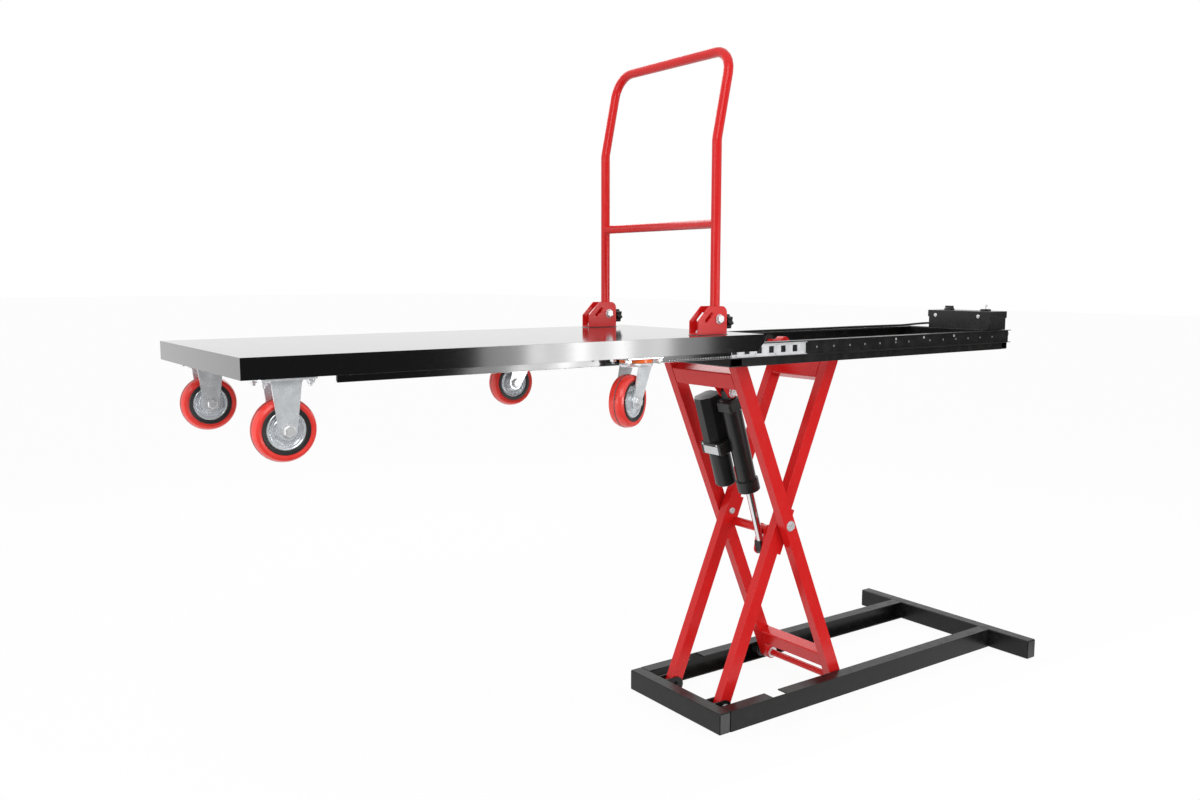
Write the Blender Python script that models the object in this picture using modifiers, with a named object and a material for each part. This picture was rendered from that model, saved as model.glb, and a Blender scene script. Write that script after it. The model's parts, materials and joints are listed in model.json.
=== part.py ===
"""Electric lifting trolley: base, scissor, sliding deck on four casters.

Lengths are millimetres in the trolley's own frame: x from the base's front
face, y from the middle plane, z from the underside of the base tubes.
"""
import math

import bmesh
import bpy
from mathutils import Matrix, Vector

MM = 0.001
GAP = 0.3
BITE = 0.5
SMOOTH_ANGLE = math.radians(32)

# Base frame
BASE_WIDTH = 400
TUBE_HEIGHT = 60
TUBE_DEPTH = 40
TUBE_ROUND = 2.5
TUBE_WALL = 3
CHANNEL_WALL = 4
BASE_RAIL_END = 1193
REAR_TUBE_LENGTH = 690
NOTCH_START = 202
NOTCH_LENGTH = 53

# Scissor
PIVOT_X = 86
ROLLER_X = 510
PLATFORM_RISE = 995
LEG_DEPTH = 40
LEG_WIDTH = 28
LEG_SPACING = 6
BEAM_START = 438
BEAM_WIDTH = 50
LUG_RADIUS = 24
LUG_THICKNESS = 5
BOLT_RADIUS = 6
BOLT_HEAD = 10
HEAD_HEIGHT = 5.2
AXLE_RADIUS = 10
GUSSET_RADIUS = 20
ROLLER_WIDTH = 28
PAD_PLATE_DROP = 13
PAD_PLATE_BELOW = 85
PAD_PLATE_ABOVE = 50
TORQUE_TUBE_RADIUS = 13.5
TORQUE_TUBE_ALONG = -25
TORQUE_TUBE_ASIDE = -31

# Actuator, measured from its rear pin along its own axis
ACTUATOR_Y = -32
REAR_PIN_ALONG = -403
REAR_PIN_ASIDE = 25
ROD_PIN_ALONG = -82
ROD_PIN_ASIDE = -46
REAR_EYE_WIDTH = 28
REAR_EYE_RADIUS = 14
ROD_EYE_WIDTH = 24
ROD_EYE_RADIUS = 15
PIN_LUG_RADIUS = 17
PIN_LUG_THICKNESS = 6
ROD_RADIUS = 11
ROD_END_LENGTH = 30
ROD_TOP = 255
TUBE_RADIUS = 27.5
TUBE_START = 24
TUBE_END = 305
CAP_RADIUS = 32.5
CAP_LENGTH = 35
TUBE_BORE = 23.5
FLANGE_END = 58
DRIVE_Y = 39
DRIVE_ASIDE = 20
COVER_START = 10
COVER_END = 143
COVER_WIDTH = 66
COVER_DEPTH = 74
COVER_CHAMFER = 20
HOUSING_END = 181
MOTOR_END = 287
MOTOR_RADIUS = 31

# Upper frame
UPPER_START = 19
UPPER_END = 1222
UPPER_REAR_DEPTH = 30
PUSH_HANDLE_RADIUS = 14
PUSH_HANDLE_REACH = 130
PUSH_HANDLE_INSET = 70
PUSH_HANDLE_BEND = 40
PUSH_HANDLE_RISE = 42

# Slides
SLIDE_HEIGHT = 40
SLIDE_LIFT = 22
SLIDE_SHEET = 2
SLIDE_OUTER_WIDTH = 12.7
SLIDE_STEP = 3
SLIDE_MIDDLE_START = -760
SLIDE_MIDDLE_END = 290
SLIDE_MIDDLE_WIDTH = 7.5
DECK_RAIL_START = -1049
DECK_RAIL_END = 8
DECK_RAIL_SHEET = 3
DECK_RAIL_FLANGE = 20
WEB_HOLE = 18
WEB_HOLE_PITCH = 44

# Control box
BOX_START = 1148
BOX_LENGTH = 89
BOX_INSET = 19
BOX_WIDTH = 234
BOX_HEIGHT = 58
BOX_LID_SKIRT = 20
BOX_SHEET = 2
KNOB_INSET = 48
KNOB_RADIUS = 17
KNOB_HEIGHT = 14
TOGGLE_INSET = 46
TOGGLE_RADIUS = 7
TOGGLE_LEVER = 17
TOGGLE_TILT = math.radians(12)
GLAND_RADIUS = 8
GLAND_LENGTH = 17
GLAND_LIFT = 14
CABLE_RADIUS = 3.5

# Deck
DECK_START = -1264
DECK_END = 42
DECK_EDGE = 2
DECK_TOP = 1086
DECK_SKIRT = 42
DECK_SHEET = 2
DECK_TUBE_WIDTH = 40
SKIRT_CHAMFER = 22

# Casters
PLATE_CLEARANCE = 1.7
RIGID_X = -1174
SWIVEL_X = -332
WHEEL_RADIUS = 62.5
WHEEL_WIDTH = 40
CASTER_HEIGHT = 164
CASTER_TRAIL = 38
PLATE_LENGTH = 115
PLATE_WIDTH = 80
PLATE_THICKNESS = 4
PLATE_BOLT_X = 45
PLATE_BOLT_Y = 30
PLATE_BOLT_RADIUS = 5
FORK_SHEET = 4
FORK_TOP = 60
FORK_FOOT = 18
RACE_RADIUS = 38
RACE_HEIGHT = 9
NEAR_SWIVEL_TURN = math.radians(23)
CORE_RADIUS = 46
DISH_RADIUS = 38
HUB_RADIUS = 13
AXLE_BOLT_RADIUS = 6

# Folding handle
POST_X = -68
POST_INSET = 65
POST_RADIUS = 12.5
POST_BEND_RISE = 480
HANDLE_RISE = 700
HANDLE_LEAN = math.radians(11.7)
HANDLE_CORNER = 60
CROSSBAR_RISE = 274
HANDLE_PIVOT_RISE = 39
POST_TAIL = 15
BRACKET_START = -136
BRACKET_END = -43
BRACKET_RISE = 71
BRACKET_SHEET = 4.5
POST_CLEARANCE = 0.8
SEAT_RISE = 1
SEAT_EDGE = 1.5
BRACKET_CHAMFER = 36
BRACKET_CORNER = 17
KNOB_STUD_RISE = 31
STAR_KNOB_RADIUS = 19
STAR_KNOB_WIDTH = 15
STAR_KNOB_STEM = 7
STAR_KNOB_LOBES = 7

# Worked out from the sizes above
MID_X = (DECK_START + UPPER_END + PUSH_HANDLE_REACH) / 2
HALF_WIDTH = BASE_WIDTH / 2
PIVOT_Z = TUBE_HEIGHT / 2
UPPER_Z = PLATFORM_RISE
UPPER_TOP = UPPER_Z + TUBE_HEIGHT
TOP_PIVOT_Z = PIVOT_Z + PLATFORM_RISE
LEG_PITCH = math.hypot(ROLLER_X - PIVOT_X, PLATFORM_RISE)
HALF_PITCH = LEG_PITCH / 2
LEG_ANGLE = math.atan2(PLATFORM_RISE, ROLLER_X - PIVOT_X)
CHANNEL_Y = HALF_WIDTH - TUBE_DEPTH
OUTER_FACE_Y = CHANNEL_Y - LEG_SPACING
OUTER_LEG_Y = OUTER_FACE_Y - LEG_WIDTH
INNER_LEG_Y = OUTER_LEG_Y - LEG_SPACING - LEG_WIDTH
PUSH_HANDLE_Y = HALF_WIDTH - PUSH_HANDLE_INSET
BOX_NEAR = BOX_INSET - HALF_WIDTH
BOX_FAR = BOX_NEAR + BOX_WIDTH
KNOB_Y = BOX_FAR - KNOB_INSET
TOGGLE_Y = BOX_NEAR + TOGGLE_INSET
RAIL_FACE_Y = HALF_WIDTH + SLIDE_OUTER_WIDTH + DECK_RAIL_SHEET + 2 * GAP
CASTER_Y = RAIL_FACE_Y + PLATE_CLEARANCE + PLATE_WIDTH / 2
DECK_HALF = CASTER_Y + PLATE_WIDTH / 2 + DECK_EDGE
POST_Y = DECK_HALF - POST_INSET
ROLLER_RADIUS = TUBE_HEIGHT / 2 - CHANNEL_WALL - 0.4
ROLLER_Y = CHANNEL_Y + 1
BOLT_HOLE = BOLT_RADIUS + 0.35
AXLE_HOLE = AXLE_RADIUS + 0.35
SLIDE_Z = UPPER_Z + SLIDE_LIFT
SKIRT_Z = DECK_TOP - DECK_SKIRT
DECK_UNDER = DECK_TOP - DECK_SHEET
AXLE_Z = SKIRT_Z - CASTER_HEIGHT + WHEEL_RADIUS
PLATE_TOP = SKIRT_Z - GAP
PLATE_UNDER = PLATE_TOP - PLATE_THICKNESS
HANDLE_PIVOT_Z = DECK_TOP + HANDLE_PIVOT_RISE
SEAT_TOP = DECK_TOP + SEAT_RISE
BRACKET_HALF = POST_RADIUS + POST_CLEARANCE + BRACKET_SHEET
SIDES = {"near": -1, "far": 1}

FINISHES = {
    "red_paint": ((0.62, 0.012, 0.010), 0.3, 0.0),
    "black_paint": ((0.012, 0.012, 0.013), 0.32, 0.0),
    "satin_black": ((0.02, 0.02, 0.02), 0.5, 0.0),
    "black_plastic": ((0.015, 0.015, 0.015), 0.45, 0.0),
    "zinc": ((0.62, 0.64, 0.66), 0.3, 1.0),
    "chrome": ((0.8, 0.8, 0.8), 0.1, 1.0),
    "polyurethane": ((0.75, 0.03, 0.02), 0.35, 0.0),
    "cable_rubber": ((0.01, 0.01, 0.01), 0.6, 0.0),
}


def start_scene():
    for old in list(bpy.data.objects):
        bpy.data.objects.remove(old, do_unlink=True)
    parts = bpy.data.collections.new("electric_lifting_trolley")
    bpy.context.scene.collection.children.link(parts)
    return parts


PARTS = start_scene()


def finish_material(name):
    found = bpy.data.materials.get(name)
    if found:
        return found
    colour, roughness, metallic = FINISHES[name]
    made = bpy.data.materials.new(name)
    made.use_nodes = True
    shader = made.node_tree.nodes["Principled BSDF"]
    shader.inputs["Base Color"].default_value = (*colour, 1)
    shader.inputs["Roughness"].default_value = roughness
    shader.inputs["Metallic"].default_value = metallic
    return made


# Shape helpers: each returns a closed mesh object in millimetres

def baked(source):
    """The evaluated mesh of an object, welded and facing out."""
    bpy.context.view_layer.update()
    depsgraph = bpy.context.evaluated_depsgraph_get()
    mesh = bpy.data.meshes.new_from_object(source.evaluated_get(depsgraph))
    mesh.transform(source.matrix_world)
    bm = bmesh.new()
    bm.from_mesh(mesh)
    bmesh.ops.remove_doubles(bm, verts=bm.verts, dist=0.02)
    bmesh.ops.recalc_face_normals(bm, faces=bm.faces)
    bm.to_mesh(mesh)
    bm.free()
    bpy.data.objects.remove(source, do_unlink=True)
    solid = bpy.data.objects.new("solid", mesh)
    bpy.context.scene.collection.objects.link(solid)
    return solid


def box(x, y, z, bevel=0.0):
    """A block between three pairs of limits, in any order."""
    bpy.ops.mesh.primitive_cube_add(size=1)
    cube = bpy.context.object
    cube.location = [(a + b) / 2 for a, b in (x, y, z)]
    cube.scale = [abs(b - a) for a, b in (x, y, z)]
    block = baked(cube)
    if bevel:
        soft = block.modifiers.new("edges", "BEVEL")
        soft.width = bevel
        soft.segments = 1
        block = baked(block)
    return block


def axis_turn(axis):
    return {
        "x": Matrix.Rotation(math.pi / 2, 4, "Y"),
        "y": Matrix.Rotation(-math.pi / 2, 4, "X"),
        "z": Matrix.Identity(4),
    }[axis]


def rod(axis, middle, radius, length, sides=20):
    """A cylinder, or a hexagon with six sides, centred on a point."""
    bpy.ops.mesh.primitive_cylinder_add(
        vertices=sides, radius=radius, depth=length
    )
    cylinder = bpy.context.object
    cylinder.matrix_world = Matrix.Translation(middle) @ axis_turn(axis)
    return baked(cylinder)


def span_rod(axis, at, ends, radius, sides=20):
    """A cylinder between two values on its axis, with the other two given."""
    middle = sum(ends) / 2
    length = abs(ends[1] - ends[0])
    a, b = at
    place = {"x": (middle, a, b), "y": (a, middle, b), "z": (a, b, middle)}
    return rod(axis, place[axis], radius, length, sides)


def turned(profile, axis, origin, steps=24):
    """A closed profile of radius and height, swept with a Screw modifier."""
    mesh = bpy.data.meshes.new("profile")
    count = len(profile)
    closed = profile[0][0] > 0 or profile[-1][0] > 0
    edges = [(i, i + 1) for i in range(count - 1)]
    if closed:
        edges.append((count - 1, 0))
    mesh.from_pydata([(r, 0, h) for r, h in profile], edges, [])
    lathe = bpy.data.objects.new("lathe", mesh)
    bpy.context.scene.collection.objects.link(lathe)
    screw = lathe.modifiers.new("turn", "SCREW")
    screw.steps = steps
    screw.render_steps = steps
    screw.use_merge_vertices = True
    screw.merge_threshold = 0.0001
    lathe.matrix_world = Matrix.Translation(origin) @ axis_turn(axis)
    return baked(lathe)


def ring(x, z, radius, count=16):
    """Points of a circle in the outline's plane."""
    angles = [2 * math.pi * i / count for i in range(count)]
    return [(x + radius * math.cos(a), z + radius * math.sin(a)) for a in angles]


def hull(*groups):
    """The outline around groups of points, such as the ends of a lug."""
    points = sorted({(round(x, 6), round(z, 6)) for g in groups for x, z in g})

    def chain(ordered):
        kept = []
        for p in ordered:
            while len(kept) > 1:
                (ax, az), (bx, bz) = kept[-2], kept[-1]
                turn = (bx - ax) * (p[1] - az) - (bz - az) * (p[0] - ax)
                if turn > 0:
                    break
                kept.pop()
            kept.append(p)
        return kept[:-1]

    return chain(points) + chain(points[::-1])


def plate(normal, outline, faces, holes=()):
    """A flat outline with holes, filled and extruded between two faces."""
    curve = bpy.data.curves.new("outline", "CURVE")
    curve.dimensions = "2D"
    curve.fill_mode = "BOTH"
    curve.extrude = abs(faces[1] - faces[0]) / 2
    for loop in (outline, *holes):
        spline = curve.splines.new("POLY")
        spline.points.add(len(loop) - 1)
        spline.use_cyclic_u = True
        for point, (a, b) in zip(spline.points, loop):
            point.co = (a, b, 0, 1)
    flat = bpy.data.objects.new("flat", curve)
    bpy.context.scene.collection.objects.link(flat)
    middle = sum(faces) / 2
    stand = {
        "x": Matrix(((0, 0, 1, middle), (1, 0, 0, 0), (0, 1, 0, 0), (0, 0, 0, 1))),
        "y": Matrix(((1, 0, 0, 0), (0, 0, -1, middle), (0, 1, 0, 0), (0, 0, 0, 1))),
        "z": Matrix.Translation((0, 0, middle)),
    }
    flat.matrix_world = stand[normal]
    return baked(flat)


def bar(points, radius, sides=12):
    """A round tube or cable along a line of points."""
    curve = bpy.data.curves.new("bar", "CURVE")
    curve.dimensions = "3D"
    curve.bevel_depth = radius
    curve.bevel_resolution = sides // 4
    curve.use_fill_caps = True
    spline = curve.splines.new("POLY")
    spline.points.add(len(points) - 1)
    for target, point in zip(spline.points, points):
        target.co = (*point, 1)
    tube = bpy.data.objects.new("bar", curve)
    bpy.context.scene.collection.objects.link(tube)
    return baked(tube)


def smooth_path(points, steps):
    """Catmull-Rom points through a hand-chosen route."""
    route = [Vector(p) for p in points]
    ends = [2 * route[0] - route[1], *route, 2 * route[-1] - route[-2]]
    path = []
    for i in range(len(route) - 1):
        a, b, c, d = ends[i:i + 4]
        for k in range(steps):
            t = k / steps
            path.append(0.5 * (
                2 * b + (c - a) * t + (2 * a - 5 * b + 4 * c - d) * t ** 2
                + (3 * b - a - 3 * c + d) * t ** 3
            ))
    path.append(route[-1])
    return path


def rounded_corner(before, corner, after, radius, count=5):
    """Arc points that replace a corner of a bent tube."""
    corner = Vector(corner)
    back = (Vector(before) - corner).normalized()
    ahead = (Vector(after) - corner).normalized()
    half = back.angle(ahead) / 2
    start = corner + back * (radius / math.tan(half))
    centre = corner + (back + ahead).normalized() * (radius / math.sin(half))
    swing = math.pi - 2 * half
    normal = back.cross(start - centre)
    points = []
    for i in range(count + 1):
        turn = Matrix.Rotation(swing * i / count, 3, normal)
        points.append(centre + turn @ (start - centre))
    return points


def combined(operation, piece, tools):
    for tool in tools:
        step = piece.modifiers.new("step", "BOOLEAN")
        step.operation = operation
        step.object = tool
        step.solver = "EXACT"
        piece = baked(piece)
        bpy.data.objects.remove(tool, do_unlink=True)
    return piece


def cut(piece, *tools):
    return combined("DIFFERENCE", piece, tools)


def joined(piece, *tools):
    return combined("UNION", piece, tools)


def bolt(axis, at, head, tip, radius=BOLT_RADIUS, head_radius=BOLT_HEAD,
         head_height=HEAD_HEIGHT, nut=None):
    """A hexagon bolt: head and tip are values on its axis, nut is optional."""
    direction = 1 if tip > head else -1
    shank = span_rod(axis, at, (head - direction * BITE, tip), radius, 16)
    cap = span_rod(
        axis, at, (head - direction * head_height, head), head_radius, 6
    )
    screw = joined(cap, shank)
    if nut is not None:
        fastener = (nut, nut + direction * head_height)
        screw = joined(screw, span_rod(axis, at, fastener, head_radius, 6))
    return screw


def hollow(axis, x, y, z):
    """A rectangular tube with open ends along an axis."""
    limits = {"x": x, "y": y, "z": z}
    tube = box(x, y, z, TUBE_ROUND)
    core = {
        name: (a - 1, b + 1) if name == axis else (a + TUBE_WALL, b - TUBE_WALL)
        for name, (a, b) in limits.items()
    }
    return cut(tube, box(core["x"], core["y"], core["z"]))


# Bodies and nodes

def body(name, parent, place, turn=(0, 0, 0)):
    """An empty on a joint's axis, placed in the trolley's frame."""
    empty = bpy.data.objects.new(name, None)
    empty.empty_display_size = 0.05
    PARTS.objects.link(empty)
    empty.parent = parent
    spot = Matrix.Translation(Vector(place) * MM)
    for angle, axis in zip(turn, "XYZ"):
        spot = spot @ Matrix.Rotation(angle, 4, axis)
    root = TROLLEY.matrix_world if parent else Matrix.Identity(4)
    bpy.context.view_layer.update()
    empty.matrix_world = root @ spot
    bpy.context.view_layer.update()
    return empty


def node(name, parent, finish, *pieces, frame=None):
    """One named object of one or more closed solids, held by its body."""
    bm = bmesh.new()
    for piece in pieces:
        bm.from_mesh(piece.data)
        bpy.data.objects.remove(piece, do_unlink=True)
    mesh = bpy.data.meshes.new(name)
    bmesh.ops.scale(bm, vec=(MM, MM, MM), verts=bm.verts)
    bm.to_mesh(mesh)
    bm.free()
    mesh.shade_smooth()
    mesh.set_sharp_from_angle(angle=SMOOTH_ANGLE)
    mesh.materials.append(finish_material(finish))
    made = bpy.data.objects.new(name, mesh)
    PARTS.objects.link(made)
    made.parent = parent
    made.matrix_world = (frame or TROLLEY).matrix_world
    return made


def across(side, inner, outer):
    """Limits in y on one side of the middle plane."""
    return tuple(sorted((side * inner, side * outer)))


TROLLEY = None
TROLLEY = body("trolley", None, (-MID_X, 0, 0))


# Base

def channel(side, x, z, wall):
    """A rail channel that opens towards the middle plane."""
    rail = box(x, across(side, CHANNEL_Y, HALF_WIDTH), (z, z + TUBE_HEIGHT))
    space = box(
        (x[0] - 1, x[1] + 1),
        across(side, CHANNEL_Y - 1, HALF_WIDTH - wall),
        (z + wall, z + TUBE_HEIGHT - wall),
    )
    return cut(rail, space)


def pivot_lugs(side, face_x, pivot_z, leg_y, weld):
    """Two lug plates beside a leg's faces, with the bolt that they clamp."""
    outline = hull(
        ring(PIVOT_X, pivot_z, LUG_RADIUS),
        [(face_x - weld, pivot_z - LUG_RADIUS), (face_x - weld, pivot_z + LUG_RADIUS)],
    )
    inner, outer = leg_y - GAP, leg_y + LEG_WIDTH + GAP
    inside = across(side, inner - LUG_THICKNESS, inner)
    outside = across(side, outer, outer + LUG_THICKNESS)
    head = side * (outer + LUG_THICKNESS - BITE)
    nut = side * (inner - LUG_THICKNESS + BITE)
    pin = bolt("y", (PIVOT_X, pivot_z), head, nut - side * (HEAD_HEIGHT + 2), nut=nut)
    return [plate("y", outline, faces) for faces in (inside, outside)] + [pin]


def build_base():
    width = (-HALF_WIDTH, HALF_WIDTH)
    front = hollow("y", (0, TUBE_DEPTH), width, (0, TUBE_HEIGHT))
    for side in SIDES.values():
        front = joined(
            front, *pivot_lugs(side, TUBE_DEPTH, PIVOT_Z, INNER_LEG_Y, 1.5)
        )
    node("base_front_tube", TROLLEY, "black_paint", front)

    for name, side in SIDES.items():
        rail = channel(
            side, (TUBE_DEPTH + GAP, BASE_RAIL_END - GAP), 0, CHANNEL_WALL
        )
        notch = box(
            (NOTCH_START, NOTCH_START + NOTCH_LENGTH),
            across(side, CHANNEL_Y - 1, HALF_WIDTH - CHANNEL_WALL),
            (TUBE_HEIGHT - CHANNEL_WALL - 1, TUBE_HEIGHT + 1),
        )
        node(f"base_rail_{name}", TROLLEY, "black_paint", cut(rail, notch))

    rear_x = (BASE_RAIL_END, BASE_RAIL_END + TUBE_DEPTH)
    half = REAR_TUBE_LENGTH / 2
    rear = hollow("y", rear_x, (-half, half), (0, TUBE_HEIGHT))
    node("base_rear_tube", TROLLEY, "black_paint", rear)


# Scissor frames

def leg_outline(start, end, plate_limits=None):
    """A leg's side view with round ends, and a stiffening plate below it."""
    half = LEG_DEPTH / 2
    angles = [math.pi * i / 8 for i in range(9)]
    points = [(end + half * math.sin(a), -half * math.cos(a)) for a in angles]
    points += [(start - half * math.sin(a), half * math.cos(a)) for a in angles]
    if plate_limits:
        low, high = plate_limits
        drop = -half - PAD_PLATE_DROP
        points += [(low, -half), (low, drop), (high, drop), (high, -half)]
    return points


def build_inner_frame(frame):
    holes = [
        ring(0, 0, BOLT_HOLE),
        ring(HALF_PITCH, 0, BOLT_HOLE),
        ring(LEG_PITCH, 0, AXLE_HOLE, 20),
    ]
    stiffener = (HALF_PITCH - PAD_PLATE_BELOW, HALF_PITCH + PAD_PLATE_ABOVE)
    outline = leg_outline(0, LEG_PITCH, stiffener)
    for name, side in SIDES.items():
        faces = across(side, INNER_LEG_Y, INNER_LEG_Y + LEG_WIDTH)
        leg = plate("y", outline, faces, holes)
        node(f"inner_leg_{name}", frame, "red_paint", leg, frame=frame)

    between = (-INNER_LEG_Y + GAP, INNER_LEG_Y - GAP)
    beam_x = (HALF_PITCH + BEAM_START, HALF_PITCH + BEAM_START + BEAM_WIDTH)
    half = LEG_DEPTH / 2
    beam = hollow("y", beam_x, between, (-half, half))
    node("inner_top_beam", frame, "red_paint", beam, frame=frame)

    tube_at = (HALF_PITCH + TORQUE_TUBE_ALONG, TORQUE_TUBE_ASIDE)
    pin_at = (HALF_PITCH + ROD_PIN_ALONG, ROD_PIN_ASIDE)
    torque = span_rod("y", tube_at, between, TORQUE_TUBE_RADIUS)
    outline = hull(
        ring(*tube_at, TORQUE_TUBE_RADIUS + 2), ring(*pin_at, PIN_LUG_RADIUS)
    )
    hole = ring(*pin_at, BOLT_HOLE)
    reach = ROD_EYE_WIDTH / 2 + GAP
    cheeks = []
    for side in SIDES.values():
        faces = (
            ACTUATOR_Y + side * reach,
            ACTUATOR_Y + side * (reach + PIN_LUG_THICKNESS),
        )
        cheeks.append(plate("y", outline, faces, [hole]))
    node(
        "inner_torque_tube", frame, "red_paint", joined(torque, *cheeks),
        frame=frame,
    )

    end = HALF_WIDTH - CHANNEL_WALL - 4
    axle = span_rod("y", (LEG_PITCH, 0), (-end, end), AXLE_RADIUS)
    node("inner_top_axle", frame, "red_paint", axle, frame=frame)
    head = ACTUATOR_Y - reach - PIN_LUG_THICKNESS - GAP
    nut = ACTUATOR_Y + reach + PIN_LUG_THICKNESS + GAP
    pin = bolt("y", pin_at, head, nut + HEAD_HEIGHT + 2, nut=nut)
    node("rod_end_bolt", frame, "zinc", pin, frame=frame)


def centre_bolt(side):
    """The crossing bolt with its collar between the two legs."""
    head = side * (OUTER_FACE_Y + GAP)
    nut = side * (INNER_LEG_Y - GAP)
    pin = bolt("y", (0, 0), head, nut - side * (HEAD_HEIGHT + 2), nut=nut)
    inner_face = INNER_LEG_Y + LEG_WIDTH + GAP
    collar = span_rod(
        "y", (0, 0), across(side, inner_face, OUTER_LEG_Y - GAP), BOLT_HEAD + 3
    )
    return joined(pin, collar)


def build_outer_frame(frame):
    holes = [
        ring(-HALF_PITCH, 0, BOLT_HOLE),
        ring(0, 0, BOLT_HOLE),
        ring(HALF_PITCH, 0, AXLE_HOLE, 20),
    ]
    outline = leg_outline(-HALF_PITCH, HALF_PITCH)
    for name, side in SIDES.items():
        faces = across(side, OUTER_LEG_Y, OUTER_FACE_Y)
        leg = plate("y", outline, faces, holes)
        node(f"outer_leg_{name}", frame, "red_paint", leg, frame=frame)

    half = LEG_DEPTH / 2
    between = (-OUTER_LEG_Y + GAP, OUTER_LEG_Y - GAP)
    beam_x = (-BEAM_START - BEAM_WIDTH, -BEAM_START)
    top_beam = box(beam_x, between, (-half, half), TUBE_ROUND)
    pin_at = (REAR_PIN_ALONG, REAR_PIN_ASIDE)
    weld = [(beam_x[1] - 8, -4), (beam_x[1] - 8, half - 4)]
    outline = hull(ring(*pin_at, PIN_LUG_RADIUS), weld)
    reach = REAR_EYE_WIDTH / 2 + GAP
    for side in SIDES.values():
        inner = ACTUATOR_Y + side * reach
        outer = inner + side * PIN_LUG_THICKNESS
        stub = bolt("y", pin_at, outer - side * BITE, inner + side)
        top_beam = joined(top_beam, plate("y", outline, (inner, outer)), stub)
    node("outer_top_beam", frame, "red_paint", top_beam, frame=frame)

    beam_x = (BEAM_START + 10, BEAM_START + 10 + BEAM_WIDTH)
    low_beam = box(beam_x, between, (-half + 5, half), TUBE_ROUND)
    outline = hull(
        ring(HALF_PITCH, 0, GUSSET_RADIUS),
        [(beam_x[0], half), (beam_x[0], -half + 5), (beam_x[1], half)],
    )
    hole = ring(HALF_PITCH, 0, AXLE_HOLE, 20)
    for side in SIDES.values():
        faces = across(side, OUTER_LEG_Y - GAP - LUG_THICKNESS, OUTER_LEG_Y - GAP)
        low_beam = joined(low_beam, plate("y", outline, faces, [hole]))
    node("outer_bottom_beam", frame, "red_paint", low_beam, frame=frame)

    end = HALF_WIDTH - CHANNEL_WALL - 4
    axle = span_rod("y", (HALF_PITCH, 0), (-end, end), AXLE_RADIUS)
    node("outer_bottom_axle", frame, "red_paint", axle, frame=frame)

    for name, side in SIDES.items():
        node(f"centre_bolt_{name}", frame, "zinc", centre_bolt(side), frame=frame)


def roller(side, x, z):
    """A flanged rail roller on its axle."""
    start, end = ROLLER_Y, ROLLER_Y + ROLLER_WIDTH
    profile = [
        (AXLE_HOLE, start), (ROLLER_RADIUS - 9, start),
        (ROLLER_RADIUS - 8, start + 2), (ROLLER_RADIUS, start + 2),
        (ROLLER_RADIUS, end), (AXLE_HOLE, end),
    ]
    wheel = turned(profile, "y", (0, 0, 0))
    wheel.matrix_world = (
        Matrix.Translation((x, 0, z)) @ Matrix.Diagonal((1, side, 1, 1))
    )
    return baked(wheel)


def build_rollers(outer_frame, inner_frame):
    low = body("base_roller_axis", outer_frame, (ROLLER_X, 0, PIVOT_Z))
    for name, side in SIDES.items():
        wheel = roller(side, ROLLER_X, PIVOT_Z)
        node(f"base_roller_{name}", low, "satin_black", wheel)
    high = body("upper_roller_axis", inner_frame, (ROLLER_X, 0, TOP_PIVOT_Z))
    for name, side in SIDES.items():
        wheel = roller(side, ROLLER_X, TOP_PIVOT_Z)
        node(f"upper_roller_{name}", high, "satin_black", wheel)


# Actuator, in a frame at the rod pin with x towards the rear pin

def leg_point(along, aside, lean):
    """A point beside the crossing bolt, in a frame of one leg, as x and z."""
    x = (PIVOT_X + ROLLER_X) / 2 + along * math.cos(lean) - aside * math.sin(lean)
    z = PIVOT_Z + PLATFORM_RISE / 2 + along * math.sin(lean) + aside * math.cos(lean)
    return x, z


ROD_PIN = leg_point(ROD_PIN_ALONG, ROD_PIN_ASIDE, LEG_ANGLE)
REAR_PIN = leg_point(REAR_PIN_ALONG, REAR_PIN_ASIDE, -LEG_ANGLE)
ACTUATOR_LENGTH = math.dist(ROD_PIN, REAR_PIN)
ACTUATOR_ANGLE = math.atan2(REAR_PIN[1] - ROD_PIN[1], REAR_PIN[0] - ROD_PIN[0])


def build_rod(frame):
    outline = hull(
        ring(0, 0, ROD_EYE_RADIUS, 20),
        [(ROD_END_LENGTH, -ROD_EYE_RADIUS + 2), (ROD_END_LENGTH, ROD_EYE_RADIUS - 2)],
    )
    half = ROD_EYE_WIDTH / 2
    eye = plate(
        "y", outline, (ACTUATOR_Y - half, ACTUATOR_Y + half),
        [ring(0, 0, BOLT_HOLE)],
    )
    node("rod_end", frame, "satin_black", eye, frame=frame)
    ends = (ROD_END_LENGTH + GAP, ACTUATOR_LENGTH - ROD_TOP)
    shaft = span_rod("x", (ACTUATOR_Y, 0), ends, ROD_RADIUS, 24)
    node("actuator_rod", frame, "chrome", shaft, frame=frame)


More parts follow.
